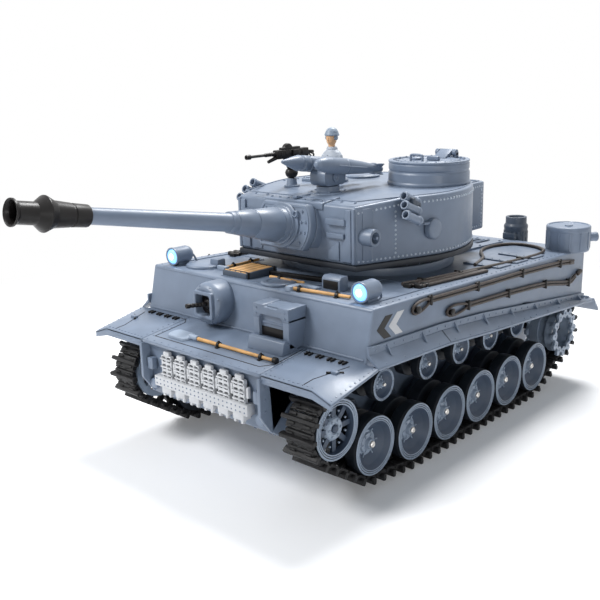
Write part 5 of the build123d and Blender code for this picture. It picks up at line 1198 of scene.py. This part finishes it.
blade = [[glacis_point(-26 + x * share, -80 + y * share, lift)
          for x, y in rounded_loop(0, 0, 16.4, 8.4, 3.6, 5)]
         for share, lift in ((0.96, -0.4), (1.0, 0.2), (0.98, 1.2), (0.86, 1.6), (0.6, 1.1), (0.2, 0.9))]
tools = [tool_line((-17, -80.0), (43, -80.0), glacis_point, (0.33, 0.83)),
         skin(blade).finish(2),
         rod(glacis_point(-19, -80, 1.4), glacis_point(-13, -80, 1.4), 1.5).finish(2),
         rod(glacis_point(41, -80, 1.35), glacis_point(43.4, -80, 1.35), 1.6).finish(1),
         tool_line((22, -50.2), (60, -45.6), deck_point, (0.22, 0.8)),
         deck_plate(((23.2, -52.4), (26.8, -52.4), (27.4, -43.6), (22.6, -43.6)), -0.4, 2.4, 0.4, 2),
         tool_line((-37, -38), (-42, -6), deck_point, (0.25, 0.75)),
         deck_plate(((-42, -39.2), (-34, -39.6), (-34, -36.6), (-42, -37.0)), -0.4, 2.4, 0.4, 2),
         tool_line((-2, -37.4), (22, -36.8), deck_point, (0.3,)),
         deck_plate(((19, -40.0), (33.4, -41.0), (34.4, -37.8), (21, -35.6)), 0, 1.1, 0.3, 2),
         deck_plate(((-9.5, -31.2), (29.5, -25.0), (29.2, -22.4), (-9.8, -28.0)), 0, 2.4, 0.4, 1),
         block(-18, -36.7, 93.0, 18.2, 23.6, 5.3, 0.5).finish(3),
         lathe(rounded([(0, 0), (0, 9.4), (1.0, 9.4), (1.5, 8.8), (1.5, 6.4), (1.1, 6.0), (1.1, 0)], 0.2),
               (10, -43, 95.0), DECK_OUT, 40).finish(4),
         side_prism([(-38.1, 93.6), (-38.1, 100.6), (-36.6, 102.2), (-31.4, 102.0), (-31.4, 93.4)],
                    35.1, 46.9).bevelled(0.5).finish(4),
         block(41, -38.2, 95.6, 9.4, 0.6, 4.4, 0.2).finish(1)]
tools += [block(-24.3 + 4.2 * i, -36.7, 97.6, 3.5, 22.0, 0.95, 0.3).finish(0) for i in range(4)]
tools += [block(-18, y, 93.2, 18.7, 1.4, 5.5, 0.2).finish(1) for y in (-46.4, -27.0)]
piece("deck_kit", gather(tools), "hull", [WOOD, BLACK, PALE, DARK, GREY], ["deck_tools"])

# ---------------------------------------------------------------- tow cables
ROPE_X = HULL_X + 1.2
UPPER_ROPE = [(-22, 88.5), (-10, 90.6), (34, 88.6), (82, 86.7), (129, 83.8), (148, 81.6)]
LOWER_ROPE = [(8, 80.6), (25, 80.3), (67, 78), (111, 74.5), (142, 69.5), (152, 72)]


def side_rope(route, offset):
    return tube(smooth_path([(ROPE_X, y, z + offset) for y, z in route], 7), 0.75, 10).finish(0)


def eye(y, z, reach, turn):
    """A drawn-out loop at a rope's end."""
    points = []
    for a in turns(16) + [2 * pi]:
        swell = 0.5 - 0.5 * cos(a)
        along, across = reach * swell, 3.2 * sin(a) * (0.55 + 0.45 * swell)
        points.append((ROPE_X, y - along * cos(turn) - across * sin(turn),
                       z - along * sin(turn) + across * cos(turn)))
    return tube(points, 0.75, 10)


ropes = []
for route in (UPPER_ROPE, LOWER_ROPE):
    ropes += [side_rope(route[1:], 0.85), side_rope(route[1:], -0.85)]      # the cable's two strands
    (y0, z0), (y1, z1) = route[0], route[1]
    ropes.append(eye(y1, z1, hypot(y1 - y0, z1 - z0) + 3.2, atan2(z1 - z0, y1 - y0)))
    (y0, z0), (y1, z1) = route[-1], route[-2]
    ropes.append(lathe(rounded([(0, 0), (0, 1.1), (1, 1.5), (5, 1.5), (6, 1.0), (6, 0)], 0.2),
                       (ROPE_X, y1 + 12, on_line([(y1, z1), (y0, z0)], y1 + 12)), (0, y0 - y1, z0 - z1), 16))
for y, z in UPPER_ROPE[1:5] + LOWER_ROPE[1:5]:
    ropes += [block(HULL_X + 1.15, y, z - 2.3, 2.3, 2.2, 4.6, 0.4).finish(1),
              rod((HULL_X + 1.9, y, z - 2.6), (HULL_X + 1.9, y, z + 2.9), 0.6, 0.6, 10).finish(1)]
ropes += [lathe(rounded([(0, 0), (0, 1.3), (2.0, 1.3), (2.4, 1.9), (3.2, 1.9), (3.4, 0)], 0.2),
                (HULL_X, y, z), LEFT, 20).finish(1) for y, z in (UPPER_ROPE[0], LOWER_ROPE[0])]
side_ropes = gather(ropes).both_sides()

DECK_ROPE = [(60, -4), (64, 22), (70, 85), (70, 126), (60, 143), (42, 146), (35, 130), (38, 110), (52, 88),
             (60, 66)]
deck_parts = [tube(smooth_path([deck_point(x, y, 1.0) for x, y in DECK_ROPE], 7), 1.0, 12)]
bars = []
for x, y in ((70.6, 4), (66.0, 1)):
    start, end = deck_point(x - 1.5, y - 8), deck_point(x + 2.4, y + 52)
    run = (end - start).normalized()
    bars.append(prism(strip(3.6, 1.5, 0.4), start, run.cross(DECK_OUT), DECK_OUT,
                      end - start).at(0, 0, 0.9).bevelled(0.2, 1))
    bars += [block(0, 0, 0, 4.6, 2.6, 2.2, 0.5).at(*start.lerp(end, share)).finish(1)
             for share in (0.02, 0.1)]
deck_parts.append(gather(bars).both_sides())
for x, y in ((62, 10), (65.5, 40), (70, 100)):
    deck_parts.append(on_deck(x, y, strip(4.6, 2.4), 2.3).bevelled(0.4).finish(1))
piece("ropes", gather([side_ropes] + deck_parts), "hull", [CABLE, BLACK], ["tow_cables"])

# ---------------------------------------------------------------- engine deck, exhausts and air cleaners
PLATE_Y = 123.2
slots = [rounded_loop((i - 3.5) * 6.4, y, 3.2, 17, 1.2, 2) for i in range(8) for y in (-14.0, 14.0)]
grille = [on_deck(0, PLATE_Y, [rounded_loop(0, 0, 62, 53.6, 1.6)] + slots, 1.4).bevelled(0.25, 1),
          # a black sheet under the slotted plate: painted shade seen through the slots
          on_deck(0, PLATE_Y, strip(56, 48), 0.35).finish(1)]
grille += [on_deck((i - 3) * 6.4, PLATE_Y + y, strip(1.0, 16.4, 0.3), 1.9).bevelled(0.2, 1)
           for i in range(7) for y in (-14.0, 14.0)]
grille += [row(bolt(ORIGIN, DECK_OUT, 0.8, 0.5), deck_point(-29, y, 1.4), deck_point(29, y, 1.4), 8)
           for y in (PLATE_Y - 24.6, PLATE_Y, PLATE_Y + 24.6)]
handle = [(-5, 1.2), (-5, 3), (-4, 3.4), (4, 3.4), (5, 3), (5, 1.2)]
grille += [tube(smooth_path([deck_point(middle + x, PLATE_Y, lift) for x, lift in handle], 4), 0.6, 10)
           for middle in (-14, 14)]
piece("rear_grille", gather(grille), "hull", [GREY, BLACK], ["engine_deck"])

# an exhaust and an air cleaner, each drawn about its own axis
rib = block(7.8, 0, 4, 0.7, 1.2, 30, 0.2)
stack = [lathe(rounded([(0, 0), (0, 7.2), (1.6, 8.1), (2.4, 8.1), (2.4, 7.9), (36, 7.9), (36, 8.05),
                        (37.6, 8.05), (39, 7.0), (43.5, 7.0), (43.5, 5.2), (36.5, 5.2), (36.5, 0)], 0.3),
               ORIGIN, UP, 48)]
stack += [rib.turned(a, "Z") for a in turns(16)]
for z in (6, 30):
    stack += [lathe(rounded([(0, 7.0), (0, 8.05), (2.4, 8.05), (2.4, 7.0), (0, 7.0)], 0.2), (0, 0, z), UP,
                    48),
              block(0, -8.2, z - 0.8, 9, 3.4, 4, 0.4)]
piece("exhaust_stacks", gather(stack).at(26, 174.9, 58).both_sides(), "hull", [DARK], ["exhausts"])

rib = block(13.45, 0, 1.6, 0.6, 1.0, 11, 0.15)
drum = [lathe(rounded([(0, 0), (0, 13.0), (1.0, 13.4), (12.6, 13.4), (13.0, 13.7), (15.4, 13.7), (16.0, 13.2),
                       (16.2, 12.2), (15.4, 11.8), (15.4, 0)], 0.25), ORIGIN, UP, 64),
        lathe(rounded([(0, 0), (0, 2.6), (0.8, 2.4), (0.8, 0)], 0.2), (0, 0, 15.3), UP, 24),
        rod((0, 0, 7.4), (12, 15.5, 7.4), 2.4, 3.0),
        lathe(rounded([(-1.6, 0), (-1.6, 3.0), (0, 3.0), (0, 2.0), (-1, 1.8), (-1, 0)], 0.2),
              (12, 15.5, 7.4), (12, 15.5, 0), 24)]
drum += [rib.turned(a, "Z") for a in turns(12)]
piece("air_drums", gather(drum).at(72, 158, 86.6).both_sides(), "hull", [GREY], ["air_cleaners"])

# ---------------------------------------------------------------- floor, light and camera
scene.view_settings.view_transform = "Standard"
FLOOR_GLOW = 0.12
floor_mesh = bpy.data.meshes.new("floor")
bm = bmesh.new()
bmesh.ops.create_grid(bm, x_segments=1, y_segments=1, size=6.0)
bm.to_mesh(floor_mesh)
bm.free()
floor = bpy.data.objects.new("floor", floor_mesh)
scene.collection.objects.link(floor)

# white floor that takes the shadow near the tank and fades into the white backdrop further out
pale = bpy.data.materials.new("pale_floor")
pale.use_nodes = True
nodes, links = pale.node_tree.nodes, pale.node_tree.links
shader = nodes["Principled BSDF"]
shader.inputs["Base Color"].default_value = (0.90, 0.90, 0.91, 1)
shader.inputs["Roughness"].default_value = 0.8


def glow(strength):
    node = nodes.new("ShaderNodeEmission")
    node.inputs["Color"].default_value = (1, 1, 1, 1)
    node.inputs["Strength"].default_value = strength
    return node


lifted = nodes.new("ShaderNodeAddShader")
links.new(shader.outputs[0], lifted.inputs[0])
links.new(glow(FLOOR_GLOW).outputs[0], lifted.inputs[1])
place = nodes.new("ShaderNodeTexCoord")
reach = nodes.new("ShaderNodeVectorMath")
reach.operation = "LENGTH"
links.new(place.outputs["Object"], reach.inputs[0])
fade = nodes.new("ShaderNodeMapRange")
fade.interpolation_type = "SMOOTHSTEP"
fade.inputs["From Min"].default_value, fade.inputs["From Max"].default_value = 0.16, 0.50
links.new(reach.outputs["Value"], fade.inputs["Value"])
both = nodes.new("ShaderNodeMixShader")
links.new(fade.outputs["Result"], both.inputs[0])
links.new(lifted.outputs[0], both.inputs[1])
links.new(glow(1.0).outputs[0], both.inputs[2])
links.new(both.outputs[0], nodes["Material Output"].inputs["Surface"])
floor_mesh.materials.append(pale)

world = bpy.data.worlds.new("studio")
scene.world = world
world.use_nodes = True
nodes, links = world.node_tree.nodes, world.node_tree.links
ground = nodes["Background"]
ground.inputs["Color"].default_value = (0.80, 0.90, 1.0, 1)
ground.inputs["Strength"].default_value = 0.25
seen = nodes.new("ShaderNodeBackground")
seen.inputs["Color"].default_value = (1, 1, 1, 1)
seen.inputs["Strength"].default_value = 1.0
path = nodes.new("ShaderNodeLightPath")
plain = path.outputs["Is Camera Ray"]
for ray in ("Is Glossy Ray", "Is Transmission Ray"):
    either = nodes.new("ShaderNodeMath")
    either.operation = "MAXIMUM"
    links.new(plain, either.inputs[0])
    links.new(path.outputs[ray], either.inputs[1])
    plain = either.outputs[0]
mix = nodes.new("ShaderNodeMixShader")
links.new(plain, mix.inputs[0])
links.new(ground.outputs[0], mix.inputs[1])
links.new(seen.outputs[0], mix.inputs[2])
links.new(mix.outputs[0], nodes["World Output"].inputs["Surface"])


def lamp(name, place, size, power):
    """A round soft light aimed at the middle of the tank."""
    data = bpy.data.lights.new(name, "AREA")
    data.shape, data.size, data.energy = "DISK", size, power
    obj = bpy.data.objects.new(name, data)
    obj.location = place
    obj.rotation_euler = (Vector(place) - Vector((0, 0, 0.08))).to_track_quat("Z", "Y").to_euler()
    scene.collection.objects.link(obj)


lamp("key_light", (-0.45, -0.75, 0.90), 0.45, 12)
lamp("side_light", (1.0, -0.5, 0.25), 0.22, 1.5)
lamp("back_light", (-0.15, 0.60, 1.15), 0.5, 19)

turn, lift, roll = radians(43.0), radians(14.95), radians(-1.51)
back = Vector((sin(turn) * cos(lift), -cos(turn) * cos(lift), sin(lift)))
right = Vector((cos(turn), sin(turn), 0))
up = back.cross(right)
right, up = right * cos(roll) + up * sin(roll), up * cos(roll) - right * sin(roll)
camera_data = bpy.data.cameras.new("camera")
camera_data.lens = 50.65
camera_data.sensor_width = 36
camera_data.clip_start = 0.01
camera = bpy.data.objects.new("camera", camera_data)
camera.matrix_world = (Matrix.Translation((0.30700, -0.34588, 0.19904))
                       @ Matrix((right, up, back)).transposed().to_4x4())
scene.collection.objects.link(camera)
scene.camera = camera

bpy.data.meshes.remove(carrier)
